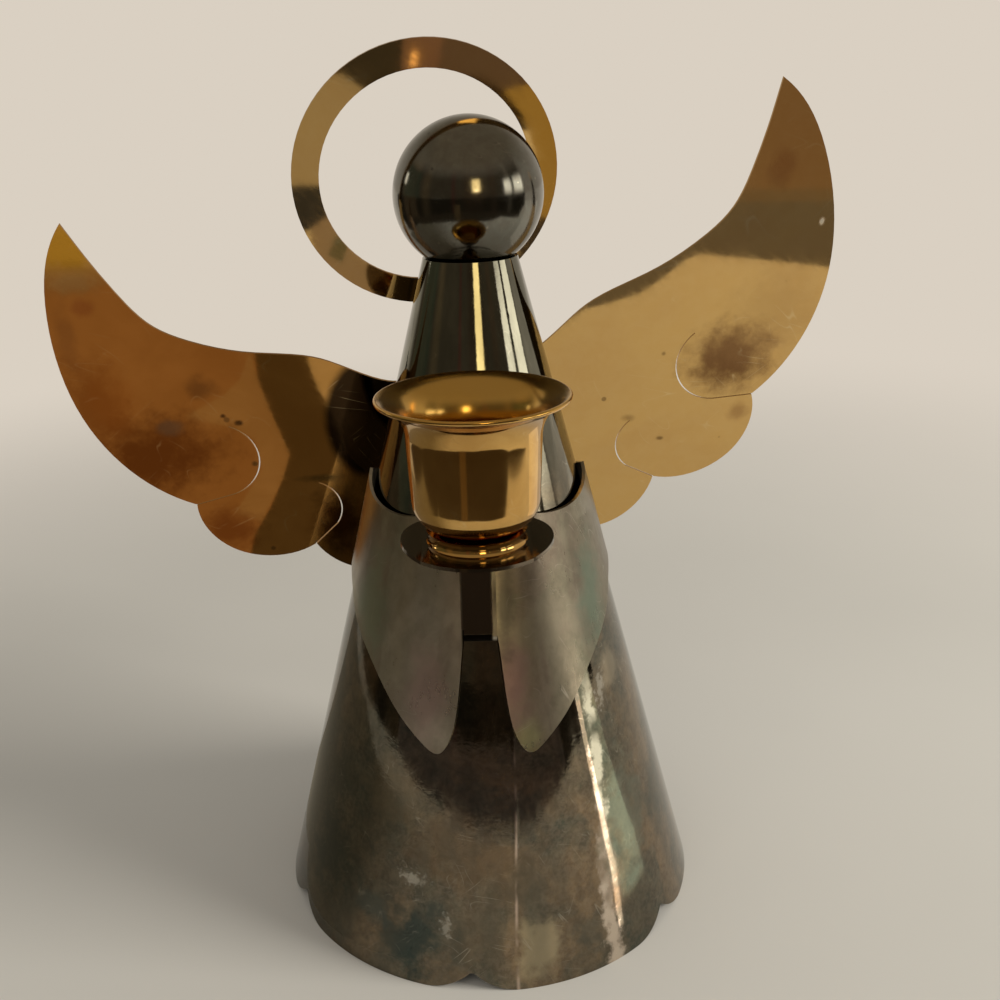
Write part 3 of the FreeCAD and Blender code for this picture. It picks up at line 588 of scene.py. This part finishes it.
gown_metal = gown_finish()
cape_metal = cape_finish()
wing_brass = wing_finish()
cup_brass = turned_brass("cup brass", (0.70, 0.43, 0.14), (0.56, 0.32, 0.095), 0.09, 0.000012)
rivet_brass = fixing_finish("rivet brass", (0.56, 0.42, 0.22), (0.36, 0.25, 0.13), 0.2)
dress(cape_metal, "cape")
dress(wing_brass, "wing_plate")
dress(cup_brass, "candle_cup", "cup_foot")
dress(head_finish(), "head_ball")
dress(fixing_finish("fixing brass", (0.66, 0.46, 0.22), (0.46, 0.30, 0.14), 0.2),
      "cup_screw", "cup_washer", "cup_nut", "wing_spacer", "wing_washer", "wing_screw")
dress(fixing_finish("fixing steel", (0.50, 0.49, 0.47), (0.33, 0.32, 0.30), 0.28),
      "head_stud", "head_washer", "head_nut", "wing_inner_washer", "wing_nut")
dress(fixing_finish("inner brass", (0.58, 0.43, 0.22), (0.38, 0.27, 0.13), 0.3), "neck_disc", "head_boss")


# Geometry Nodes pieces
class Form(Net):
    """A Geometry Nodes tree with named inputs."""

    def __init__(self, name, sizes):
        super().__init__(bpy.data.node_groups.new(name, "GeometryNodeTree"))
        self.tree.interface.new_socket("Geometry", in_out="OUTPUT", socket_type="NodeSocketGeometry")
        self.sizes = sizes
        for key, value in sizes.items():
            kind = "NodeSocketInt" if isinstance(value, int) else "NodeSocketFloat"
            socket = self.tree.interface.new_socket(key, in_out="INPUT", socket_type=kind)
            socket.default_value = value
        inside = self.tree.nodes.new("NodeGroupInput")
        self.given = {key: inside.outputs[key] for key in sizes}

    def position(self):
        return self.put("GeometryNodeInputPosition")

    def vector(self, x, y, z):
        return self.put("ShaderNodeCombineXYZ", {0: x, 1: y, 2: z})

    def finish(self, geometry, material, name, body, slot):
        real = self.put("GeometryNodeRealizeInstances", {0: geometry})
        done = self.put("GeometryNodeSetMaterial", {"Geometry": real, "Material": material})
        outside = self.tree.nodes.new("NodeGroupOutput")
        self.feed(outside.inputs[0], done)
        seed = bpy.data.objects.new(name + " form", bpy.data.meshes.new(name + " form"))
        scene.collection.objects.link(seed)
        modifier = seed.modifiers.new("form", "NODES")
        modifier.node_group = self.tree
        for item in self.tree.interface.items_tree:
            if item.in_out == "INPUT":
                modifier[item.identifier] = self.sizes[item.name]
        evaluated = seed.evaluated_get(bpy.context.evaluated_depsgraph_get())
        mesh = bpy.data.meshes.new_from_object(evaluated)
        mesh.name = name
        seed.modifiers.clear()
        bpy.data.objects.remove(seed)
        piece = bpy.data.objects.new(name, mesh)
        scene.collection.objects.link(piece)
        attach(piece, body)
        return piece


def make_gown():
    """Sheet rolled to a cone, with a scalloped hem, a seam at the back and slight dents."""
    form = Form("gown form", {
        "Columns": 360, "Rows": 90, "Base radius": GOWN_BASE_RADIUS, "Neck radius": GOWN_NECK_RADIUS,
        "Height": GOWN_HEIGHT, "Sheet": GOWN_SHEET, "Scallops": 6, "Notch height": 4.2 * MM,
        "Notch half width": 10.8 * MM, "Turn": math.radians(GOWN_TURN_DEG), "Dent": 0.12 * MM,
        "Seam half width": 0.2 * MM, "Seam depth": 0.2 * MM})
    given = form.given
    grid = form.put("GeometryNodeMeshGrid", {"Size X": 1.0, "Size Y": 1.0, "Vertices X": given["Columns"],
                                             "Vertices Y": given["Rows"]})
    x, y, _ = form.split(form.position())
    # Turn 0 is the front; the grid closes on itself at the back, where the seam is
    turn = form.mul(x, math.tau)
    share = form.add(y, 0.5)
    step = form.math("DIVIDE", math.tau, given["Scallops"])
    beside = form.math("PINGPONG", turn, form.mul(step, 0.5))
    across = form.mul(given["Base radius"], form.math("SINE", beside))
    wide = given["Notch half width"]
    tall = given["Notch height"]
    radius = form.math("DIVIDE", form.add(form.mul(wide, wide), form.mul(tall, tall)), form.mul(tall, 2.0))
    reach = form.math("MAXIMUM", form.sub(wide, across), 0.0)
    drop = form.math("SQRT", form.sub(form.mul(radius, radius), form.mul(reach, reach)))
    hem = form.sub(radius, drop)
    spread = form.math("POWER", share, 1.25)
    height = form.add(hem, form.mul(spread, form.sub(given["Height"], hem)))
    slope = form.math("DIVIDE", form.sub(given["Base radius"], given["Neck radius"]), given["Height"])
    cone = form.sub(given["Base radius"], form.mul(slope, height))
    angle = form.add(form.add(turn, given["Turn"]), -math.pi / 2)
    ahead = form.vector(form.math("COSINE", angle), form.math("SINE", angle), form.mul(height, 7.0))
    dent = form.mul(form.noise(ahead, 1.3, 1.0, 0.4), given["Dent"])
    from_seam = form.mul(form.sub(math.pi, form.math("ABSOLUTE", turn)), cone)
    seam = form.mul(form.rise(from_seam, given["Seam half width"], 0.0), given["Seam depth"])
    cone = form.sub(form.sub(cone, dent), seam)
    place = form.vector(form.add(form.mul(cone, form.math("COSINE", angle)), AXIS_X),
                        form.add(form.mul(cone, form.math("SINE", angle)), AXIS_Y), height)
    outer = form.put("GeometryNodeSetPosition", {"Geometry": grid, "Position": place})
    outer = form.put("GeometryNodeMergeByDistance", {"Geometry": outer, "Distance": 0.00001})
    now_x, now_y, _ = form.split(form.position())
    inwards = form.vector(form.sub(AXIS_X, now_x), form.sub(AXIS_Y, now_y), 0.0)
    inwards = form.put("ShaderNodeVectorMath", {0: inwards}, operation="NORMALIZE")
    slant = form.math("SQRT", form.add(1.0, form.mul(slope, slope)))
    inner = form.put("GeometryNodeExtrudeMesh", {"Mesh": outer, "Offset": inwards, "Individual": False,
                                                 "Offset Scale": form.mul(given["Sheet"], slant)})
    inner = form.put("GeometryNodeFlipFaces", {"Mesh": inner})
    join = form.tree.nodes.new("GeometryNodeJoinGeometry")
    form.tree.links.new(outer, join.inputs[0])
    form.tree.links.new(inner, join.inputs[0])
    shell = form.put("GeometryNodeMergeByDistance", {"Geometry": join.outputs[0], "Distance": 0.00001})
    shell = form.put("GeometryNodeSetShadeSmooth", {"Geometry": shell})
    gown = form.finish(shell, gown_metal, "gown_sheet", "stand", "gown_plate")
    edge = gown.modifiers.new("soft edges", "BEVEL")
    edge.width = 0.08 * MM
    edge.segments = 2
    edge.limit_method = "ANGLE"
    edge.angle_limit = math.radians(60)
    edge.harden_normals = True
    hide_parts("gown")
    return gown


def make_rivets():
    """Two turned rivets that hold the cape's ends at the back."""
    form = Form("rivet form", {
        "Rivets": 2, "Turn": math.radians(25.0), "Height": 95.5 * MM, "Head seat": 1.63 * MM,
        "Tail seat": -0.81 * MM, "Head radius": 1.7 * MM, "Head height": 0.7 * MM, "Shank radius": 1.0 * MM,
        "Tail radius": 1.6 * MM, "Tail height": 0.6 * MM})
    given = form.given
    slope = math.atan2(GOWN_BASE_RADIUS - GOWN_NECK_RADIUS, GOWN_HEIGHT)

    def turned_cap(radius, height, power):
        """A closed round cap on a flat base: a grid rolled up round Z."""
        grid = form.put("GeometryNodeMeshGrid", {"Size X": 1.0, "Size Y": 1.0, "Vertices X": 49,
                                                 "Vertices Y": 25})
        x, y, _ = form.split(form.position())
        climb = form.mul(y, math.pi)
        out = form.mul(radius, form.math("POWER", form.math("COSINE", climb), power))
        up = form.mul(height, form.math("MAXIMUM", form.math("SINE", climb), 0.0))
        round_it = form.mul(x, math.tau)
        place = form.vector(form.mul(out, form.math("COSINE", round_it)),
                            form.mul(out, form.math("SINE", round_it)), up)
        cap = form.put("GeometryNodeSetPosition", {"Geometry": grid, "Position": place})
        return form.put("GeometryNodeMergeByDistance", {"Geometry": cap, "Distance": 0.000002})

    def moved(geometry, z, turn=0.0):
        return form.put("GeometryNodeTransform", {"Geometry": geometry, "Rotation": (turn, 0, 0),
                                                  "Translation": form.vector(0.0, 0.0, z)})

    head = moved(turned_cap(given["Head radius"], given["Head height"], 1.0), given["Head seat"])
    tail = moved(turned_cap(given["Tail radius"], given["Tail height"], 0.3), given["Tail seat"], math.pi)
    length = form.sub(given["Head seat"], given["Tail seat"])
    shank = form.put("GeometryNodeMeshCylinder", {"Vertices": 48, "Radius": given["Shank radius"],
                                                  "Depth": length})
    shank = moved(shank, form.mul(form.add(given["Head seat"], given["Tail seat"]), 0.5))
    join = form.tree.nodes.new("GeometryNodeJoinGeometry")
    for part in (head, tail, shank):
        form.tree.links.new(part, join.inputs[0])
    rivet = form.put("GeometryNodeSetShadeSmooth", {"Geometry": join.outputs[0]})
    points = form.put("GeometryNodePoints", {"Count": given["Rivets"]})
    side = form.add(form.mul(form.put("GeometryNodeInputIndex"), 2.0), -1.0)
    angle = form.mul(side, given["Turn"])
    radius = form.sub(GOWN_BASE_RADIUS, form.mul(given["Height"], math.tan(slope)))
    place = form.vector(form.sub(AXIS_X, form.mul(radius, form.math("SINE", angle))),
                        form.add(AXIS_Y, form.mul(radius, form.math("COSINE", angle))), given["Height"])
    points = form.put("GeometryNodeSetPosition", {"Geometry": points, "Position": place})
    leaning = form.vector(slope - math.pi / 2, 0.0, angle)
    set_out = form.put("GeometryNodeInstanceOnPoints", {"Points": points, "Instance": rivet,
                                                        "Rotation": form.put("FunctionNodeEulerToRotation",
                                                                             {0: leaning})})
    rivets = form.finish(set_out, rivet_brass, "cape_rivet_pair", "stand", "rivet_brass")
    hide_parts("cape_rivets")
    return rivets


make_gown()
make_rivets()


# Floor, backdrop and the surroundings that polished metal shows
WALL = (0.70, 0.63, 0.54)
TABLE = (0.67, 0.65, 0.59)
CARD_STEP = 0.1 * MM
SHOULDER = 95 * MM
FLOOR_REACH = 6.0
ROOM_REACH = 7.0
ROOM_LEVEL = 3.3
DEGREES = 180 / math.pi


def stage_mesh(name, points, faces, material):
    mesh = bpy.data.meshes.new(name)
    mesh.from_pydata(points, [], faces)
    mesh.materials.append(material)
    piece = bpy.data.objects.new(name, mesh)
    scene.collection.objects.link(piece)
    return piece


def make_floor():
    material = bpy.data.materials.new("pale table")
    material.use_nodes = True
    net = Net(material.node_tree)
    shader = net.tree.nodes["Principled BSDF"]
    vector = net.put("ShaderNodeTexCoord", out=3)
    grain = net.rise(net.noise(vector, 6.0, 3.0, 0.5), 0.3, 0.7)
    net.feed(shader.inputs["Base Color"], net.mix(grain, TABLE, tuple(part * 0.96 for part in TABLE)))
    x, y, _ = net.split(vector)
    far = net.math("SQRT", net.add(net.mul(x, x), net.mul(y, y)))
    path = net.tree.nodes.new("ShaderNodeLightPath")
    shown = net.math("MAXIMUM", path.outputs["Is Camera Ray"], path.outputs["Is Transmission Ray"])
    shown = net.math("MAXIMUM", shown, path.outputs["Is Glossy Ray"])
    share = net.mul(net.rise(far, 0.18, 0.6), shown)
    shader.inputs["Roughness"].default_value = 0.6
    shader.inputs["Specular IOR Level"].default_value = 0.15
    wall = net.put("ShaderNodeEmission", {"Color": WALL, "Strength": 1.0})
    both = net.put("ShaderNodeMixShader", {0: share, 1: shader.outputs[0], 2: wall})
    net.feed(net.tree.nodes["Material Output"].inputs[0], both)
    material.cycles.emission_sampling = "NONE"
    corners = [(x * FLOOR_REACH, y * FLOOR_REACH, 0) for x, y in ((-1, -1), (1, -1), (1, 1), (-1, 1))]
    return stage_mesh("floor", corners, [(0, 1, 2, 3)], material)


def room_colour(net, turn, level):
    """The dim room in front, in upright bands: degrees round from the front, softness, colour."""
    room = tuple(part * level for part in (0.03, 0.024, 0.016))
    for low, high, soft, tint in ((-112, -84, 4, (0.10, 0.07, 0.04)), (-72, -60, 5, (0.075, 0.055, 0.032)),
                                  (-24, -19, 2, (0.06, 0.028, 0.02)), (-6, 22, 5, (0.04, 0.028, 0.018)),
                                  (34, 44, 3, (0.05, 0.035, 0.022)), (62, 68, 3, (0.12, 0.10, 0.075))):
        room = net.mix(net.band(turn, low, high, soft), room, tuple(part * (level + 1) / 2 for part in tint))
    return room


def around(turn_deg, far):
    """The place on the table at a distance from the gown's axis, degrees round from the front."""
    turn = math.radians(turn_deg)
    return Vector((AXIS_X + far * math.sin(turn), AXIS_Y - far * math.cos(turn), 0))


def make_far_room():
    """The dark floor beyond the table's front, seen only by polished metal."""
    # Where the table ends: degrees round from the front, mm from the gown's axis
    reaches = [(-132, 700), (-124, 400), (-110, 330), (-90, 320), (-60, 375), (-45, 372), (-30, 355),
               (-15, 332), (0, 308), (10, 292), (18, 281), (28, 288), (40, 312), (52, 345), (61, 384),
               (88, 390), (94, 700)]
    points, faces = [], []
    turns = list(range(-132, 96, 2))
    for turn_deg in turns:
        for (low_deg, low_reach), (high_deg, high_reach) in zip(reaches, reaches[1:]):
            if low_deg <= turn_deg <= high_deg:
                share = (turn_deg - low_deg) / (high_deg - low_deg)
                reach = (low_reach + (high_reach - low_reach) * share) * MM
        for distance in (reach, ROOM_REACH):
            point = around(turn_deg, distance)
            points.append((point.x, point.y, CARD_STEP))
    for index in range(len(turns) - 1):
        faces.append((2 * index, 2 * index + 1, 2 * index + 3, 2 * index + 2))
    card = make_card("card_room", [], None, 0)
    card.data.from_pydata(points, [], faces)
    net = Net(card.data.materials[0].node_tree)
    x, y, _ = net.split(net.put("ShaderNodeTexCoord", out=3))
    turn = net.mul(net.round_axis(x, y), DEGREES)
    net.feed(net.tree.nodes["Emission"].inputs["Color"], room_colour(net, turn, 1.0))


def ray_start(net):
    """Where a ray set out, one ray length back from the card: its share on the wing plate, and its height."""
    length = net.put("ShaderNodeLightPath").node.outputs["Ray Length"]
    seat = net.put("ShaderNodeNewGeometry").node
    way = net.put("ShaderNodeVectorMath", {0: seat.outputs["Incoming"], "Scale": length}, operation="SCALE")
    start = net.put("ShaderNodeVectorMath", {0: seat.outputs["Position"], 1: way}, operation="ADD")
    off = net.put("ShaderNodeVectorMath", {0: start, 1: tuple(PLATE_POINT)}, operation="SUBTRACT")
    off = net.dot(off, tuple(PLATE_NORMAL))
    return net.math("LESS_THAN", net.math("ABSOLUTE", off), 1.5 * MM), net.split(start)[2]


def make_card(name, points, colour, level, only=None, fade=None):
    """A dark or warm reflector lying on the table in front, seen only by polished metal.

    With only "plate" it shows in the flat wing plate alone, with "rest" in everything else,
    with "high" or "low" in what else is above or below the shoulders of the gown. With fade it
    comes in softly between two directions, in degrees round from the front."""
    material = bpy.data.materials.new(name)
    material.use_nodes = True
    net = Net(material.node_tree)
    net.tree.nodes.remove(net.tree.nodes["Principled BSDF"])
    light = net.put("ShaderNodeEmission", {"Color": colour or WALL, "Strength": 1.0})
    above = net.split(net.put("ShaderNodeNewGeometry").node.outputs["Incoming"])[2]
    share = net.math("GREATER_THAN", above, 0.0)
    if only:
        plate, height = ray_start(net)
        share = net.mul(share, plate if only == "plate" else net.sub(1.0, plate))
        if only in ("high", "low"):
            side = "GREATER_THAN" if only == "high" else "LESS_THAN"
            share = net.mul(share, net.math(side, height, SHOULDER))
    if fade:
        x, y, _ = net.split(net.put("ShaderNodeTexCoord", out=3))
        turn = net.mul(net.round_axis(x, y), DEGREES)
        share = net.mul(share, net.rise(turn, *fade))
    clear = net.put("ShaderNodeBsdfTransparent")
    net.feed(net.tree.nodes["Material Output"].inputs[0],
             net.put("ShaderNodeMixShader", {0: share, 1: clear, 2: light}))
    material.cycles.emission_sampling = "NONE"
    corners = [(point.x, point.y, level * CARD_STEP) for point in points]
    card = stage_mesh(name, corners, [range(len(points))] if points else [], material)
    for kind in ("camera", "diffuse", "transmission", "volume_scatter", "shadow"):
        setattr(card, "visible_" + kind, False)
    return card


# What the flat plate shows at places of the photograph: level above the table, colour, outline in its pixels
PLATE_CARDS = {
    "card_left_fade": (2, (0.40, 0.36, 0.29), [(20, 262), (110, 262), (130, 285), (20, 300)]),
    "card_left_fade_low": (3, (0.31, 0.25, 0.18), [(20, 272), (112, 268), (130, 290), (20, 310)]),
    "card_left": (4, (0.29, 0.185, 0.11), [
        (20, 286), (118, 276), (190, 325), (260, 335), (258, 380), (270, 410), (290, 455), (283, 480),
        (270, 510), (255, 535), (250, 580), (150, 560), (60, 450), (20, 360)]),
    "card_left_tan": (5, (0.32, 0.24, 0.17), [
        (250, 352), (258, 380), (270, 410), (290, 455), (283, 480), (262, 522), (235, 515), (262, 470),
        (255, 440), (232, 428), (185, 418), (225, 395), (240, 380)]),
    "card_left_olive": (6, (0.090, 0.071, 0.045), [
        (253, 340), (258, 380), (270, 410), (290, 455), (283, 480), (270, 510), (255, 535), (250, 560),
        (360, 575), (380, 520), (352, 484), (340, 478), (347, 465), (345, 445), (330, 410), (318, 390),
        (310, 370), (303, 340)]),
    "card_right": (2, (0.145, 0.135, 0.13), [
        (840, 269), (810, 265), (780, 262), (750, 259), (720, 256), (700, 254), (685, 260), (660, 280),
        (640, 293), (610, 303), (585, 309), (560, 325), (545, 335), (540, 320), (600, 275), (690, 222),
        (735, 190), (745, 180), (850, 180), (860, 240)]),
    "card_right_fade": (3, (0.18, 0.148, 0.12), [(730, 202), (845, 202), (845, 180), (735, 180)]),
    "card_right_tip": (4, (0.22, 0.16, 0.115), [
        (735, 190), (850, 190), (845, 110), (800, 55), (760, 55), (745, 150)]),
    "card_halo_left": (2, (0.37, 0.335, 0.28), [
        (283, 186), (325, 186), (345, 130), (364, 89), (340, 73), (300, 80), (275, 140)]),
    "card_halo_top": (3, (0.045, 0.042, 0.038), [
        (340, 73), (364, 89), (382, 80), (401, 74), (403, 25), (360, 30)]),
    "card_halo_orange": (3, (0.19, 0.125, 0.11), [(401, 74), (403, 25), (447, 20), (437, 74)]),
    "card_halo_spark": (4, (1.3, 0.85, 0.45), [(409, 67), (412, 52), (418, 52), (417, 67)]),
    "card_halo_brown": (3, (0.12, 0.092, 0.085), [
        (437, 74), (447, 20), (510, 25), (545, 75), (531, 84), (516, 87), (503, 91), (480, 78)]),
    "card_halo_right": (3, (0.35, 0.26, 0.10), [
        (503, 91), (516, 87), (531, 84), (585, 100), (585, 235), (550, 222), (535, 215), (535, 150),
        (523, 115)]),
    "card_halo_dark": (4, (0.05, 0.045, 0.048), [
        (535, 215), (550, 222), (580, 237), (545, 295), (512, 275), (518, 250)]),
    "card_halo_low_dark": (3, (0.04, 0.043, 0.055), [
        (283, 186), (325, 186), (332, 213), (310, 229), (285, 245)]),
    "card_halo_low": (3, (0.28, 0.235, 0.215), [
        (332, 213), (310, 229), (315, 260), (350, 295), (400, 315), (400, 300), (392, 274), (360, 255),
        (345, 235)]),
    "card_halo_olive": (4, (0.13, 0.13, 0.105), [(338, 232), (350, 240), (342, 264), (328, 256)]),
    "card_halo_foot": (4, (0.05, 0.04, 0.035), [(392, 272), (400, 303), (398, 315), (430, 310), (425, 275)]),
}
make_floor()
make_far_room()
for card_name, (card_level, card_colour, outline) in PLATE_CARDS.items():
    make_card(card_name, [mirrored(*pixel) for pixel in outline], card_colour, card_level, "plate")
# What the gown, the cup and the ball show of the table: who sees it, colour, level, fade,
# and the outline in mm from the gown's axis and degrees round from the front
for card_name, card_only, card_colour, card_level, fade, outline in (
        ("card_glare", "low", (3.4, 2.95, 2.5), 10, None,
         ((62, 46), (75, 51), (104, 60), (190, 64.5), (400, 65), (800, 65), (800, 73), (400, 72.5), (190, 71),
          (104, 65), (75, 55.5), (62, 49))),
        ("card_glare_side", "high", (0.95, 0.88, 0.76), 11, None,
         ((150, 98), (1000, 96), (1000, 130), (150, 130))),
        ("card_near_room", "high", (0.055, 0.041, 0.026), 7, None,
         ((330, -124), (262, -110), (250, -90), (262, -60), (250, -30), (248, 0), (250, 40), (310, 52),
          (330, 88), (420, 88), (420, 60), (420, 30), (420, 0), (420, -30), (420, -60), (420, -90),
          (420, -124))),
        ("card_front_edge", "low", (0.12, 0.098, 0.085), 6, None,
         ((375, -60), (355, -30), (332, -15), (308, 0), (292, 10), (281, 18), (288, 28), (312, 40), (345, 52),
          (900, 52), (900, 30), (900, 0), (900, -30), (900, -60))),
        ("card_glare_soft", "low", (1.05, 1.1, 0.9), 12, None,
         ((75, 57), (104, 66), (190, 71), (400, 72.5), (800, 73), (800, 84), (400, 84), (190, 83), (104, 80),
          (75, 72))),
        ("card_near_band", "high", (0.12, 0.08, 0.04), 8, None,
         ((249, -21), (249, -12), (900, -12), (900, -21))),
        ("card_left_shade", "rest", (0.19, 0.165, 0.12), 9, (-28, -72),
         ((60, -28), (300, -28), (300, -90), (300, -130), (60, -130), (60, -90)))):
    make_card(card_name, [around(turn, far * MM) for far, turn in outline], card_colour, card_level,
              card_only, fade)


def make_world():
    world = bpy.data.worlds.new("studio")
    scene.world = world
    world.use_nodes = True
    net = Net(world.node_tree)
    background = net.tree.nodes["Background"]
    x, y, z = net.split(net.put("ShaderNodeTexCoord", out=0))
    turn = net.mul(net.math("ARCTAN2", x, net.mul(y, -1.0)), DEGREES)
    rise = net.mul(net.math("ARCSINE", z), DEGREES)
    # A pale wall behind, a dim warm ceiling, a dark brown room in front
    colour = net.mix(net.rise(rise, 10, 50), (0.55, 0.49, 0.41), (0.27, 0.22, 0.155))
    front = net.mul(net.band(turn, -122, 92, 6), net.rise(rise, 46, 22))
    colour = net.mix(front, colour, room_colour(net, turn, ROOM_LEVEL))
    teal = net.mul(net.band(turn, -112, -78, 4), net.band(rise, -2, 27, 3))
    colour = net.mix(net.mul(teal, 0.8), colour, (0.075, 0.09, 0.06))
    spark = net.mul(net.band(turn, -113, -108, 1), net.band(rise, 9, 18, 1))
    colour = net.mix(spark, colour, (3.0, 2.8, 2.4))
    lamp = net.band(turn, 7, 19, 1.5)
    colour = net.mix(net.mul(lamp, net.band(rise, 7, 24, 2)), colour, (4.7, 3.6, 1.7))
    colour = net.mix(net.mul(net.band(turn, 10, 16, 1), net.band(rise, 7, 10, 1)), colour, (8.0, 6.0, 3.2))
    panes = net.math("MAXIMUM", net.band(turn, 57, 69, 0.8), net.band(turn, 74, 91, 0.8))
    window = net.mul(panes, net.band(rise, 2, 17, 5))
    colour = net.mix(window, colour, (3.5, 3.25, 2.8))
    path = net.tree.nodes.new("ShaderNodeLightPath")
    plain = net.mix(path.outputs["Is Glossy Ray"], (0.38, 0.365, 0.345), colour)
    shown = net.math("MAXIMUM", path.outputs["Is Camera Ray"], path.outputs["Is Transmission Ray"])
    net.feed(background.inputs["Color"], net.mix(shown, plain, WALL))
    world.cycles.sampling_method = "NONE"


make_world()


def make_lamp(name, place, size, power, colour):
    data = bpy.data.lights.new(name, "AREA")
    data.shape = "RECTANGLE"
    data.size, data.size_y = size
    data.energy = power
    data.color = colour
    lamp = bpy.data.objects.new(name, data)
    scene.collection.objects.link(lamp)
    lamp.location = place
    lamp.rotation_euler = (Vector((0, 0, 0.06)) - Vector(place)).to_track_quat("-Z", "Y").to_euler()
    lamp.visible_glossy = False
    lamp.visible_camera = False
    return lamp


make_lamp("window_light", (1.05, -0.25, 0.55), (0.55, 0.45), 12.0, (1.0, 0.96, 0.90))
make_lamp("room_light", (-0.5, -0.9, 1.0), (0.8, 0.8), 2.0, (1.0, 0.93, 0.84))
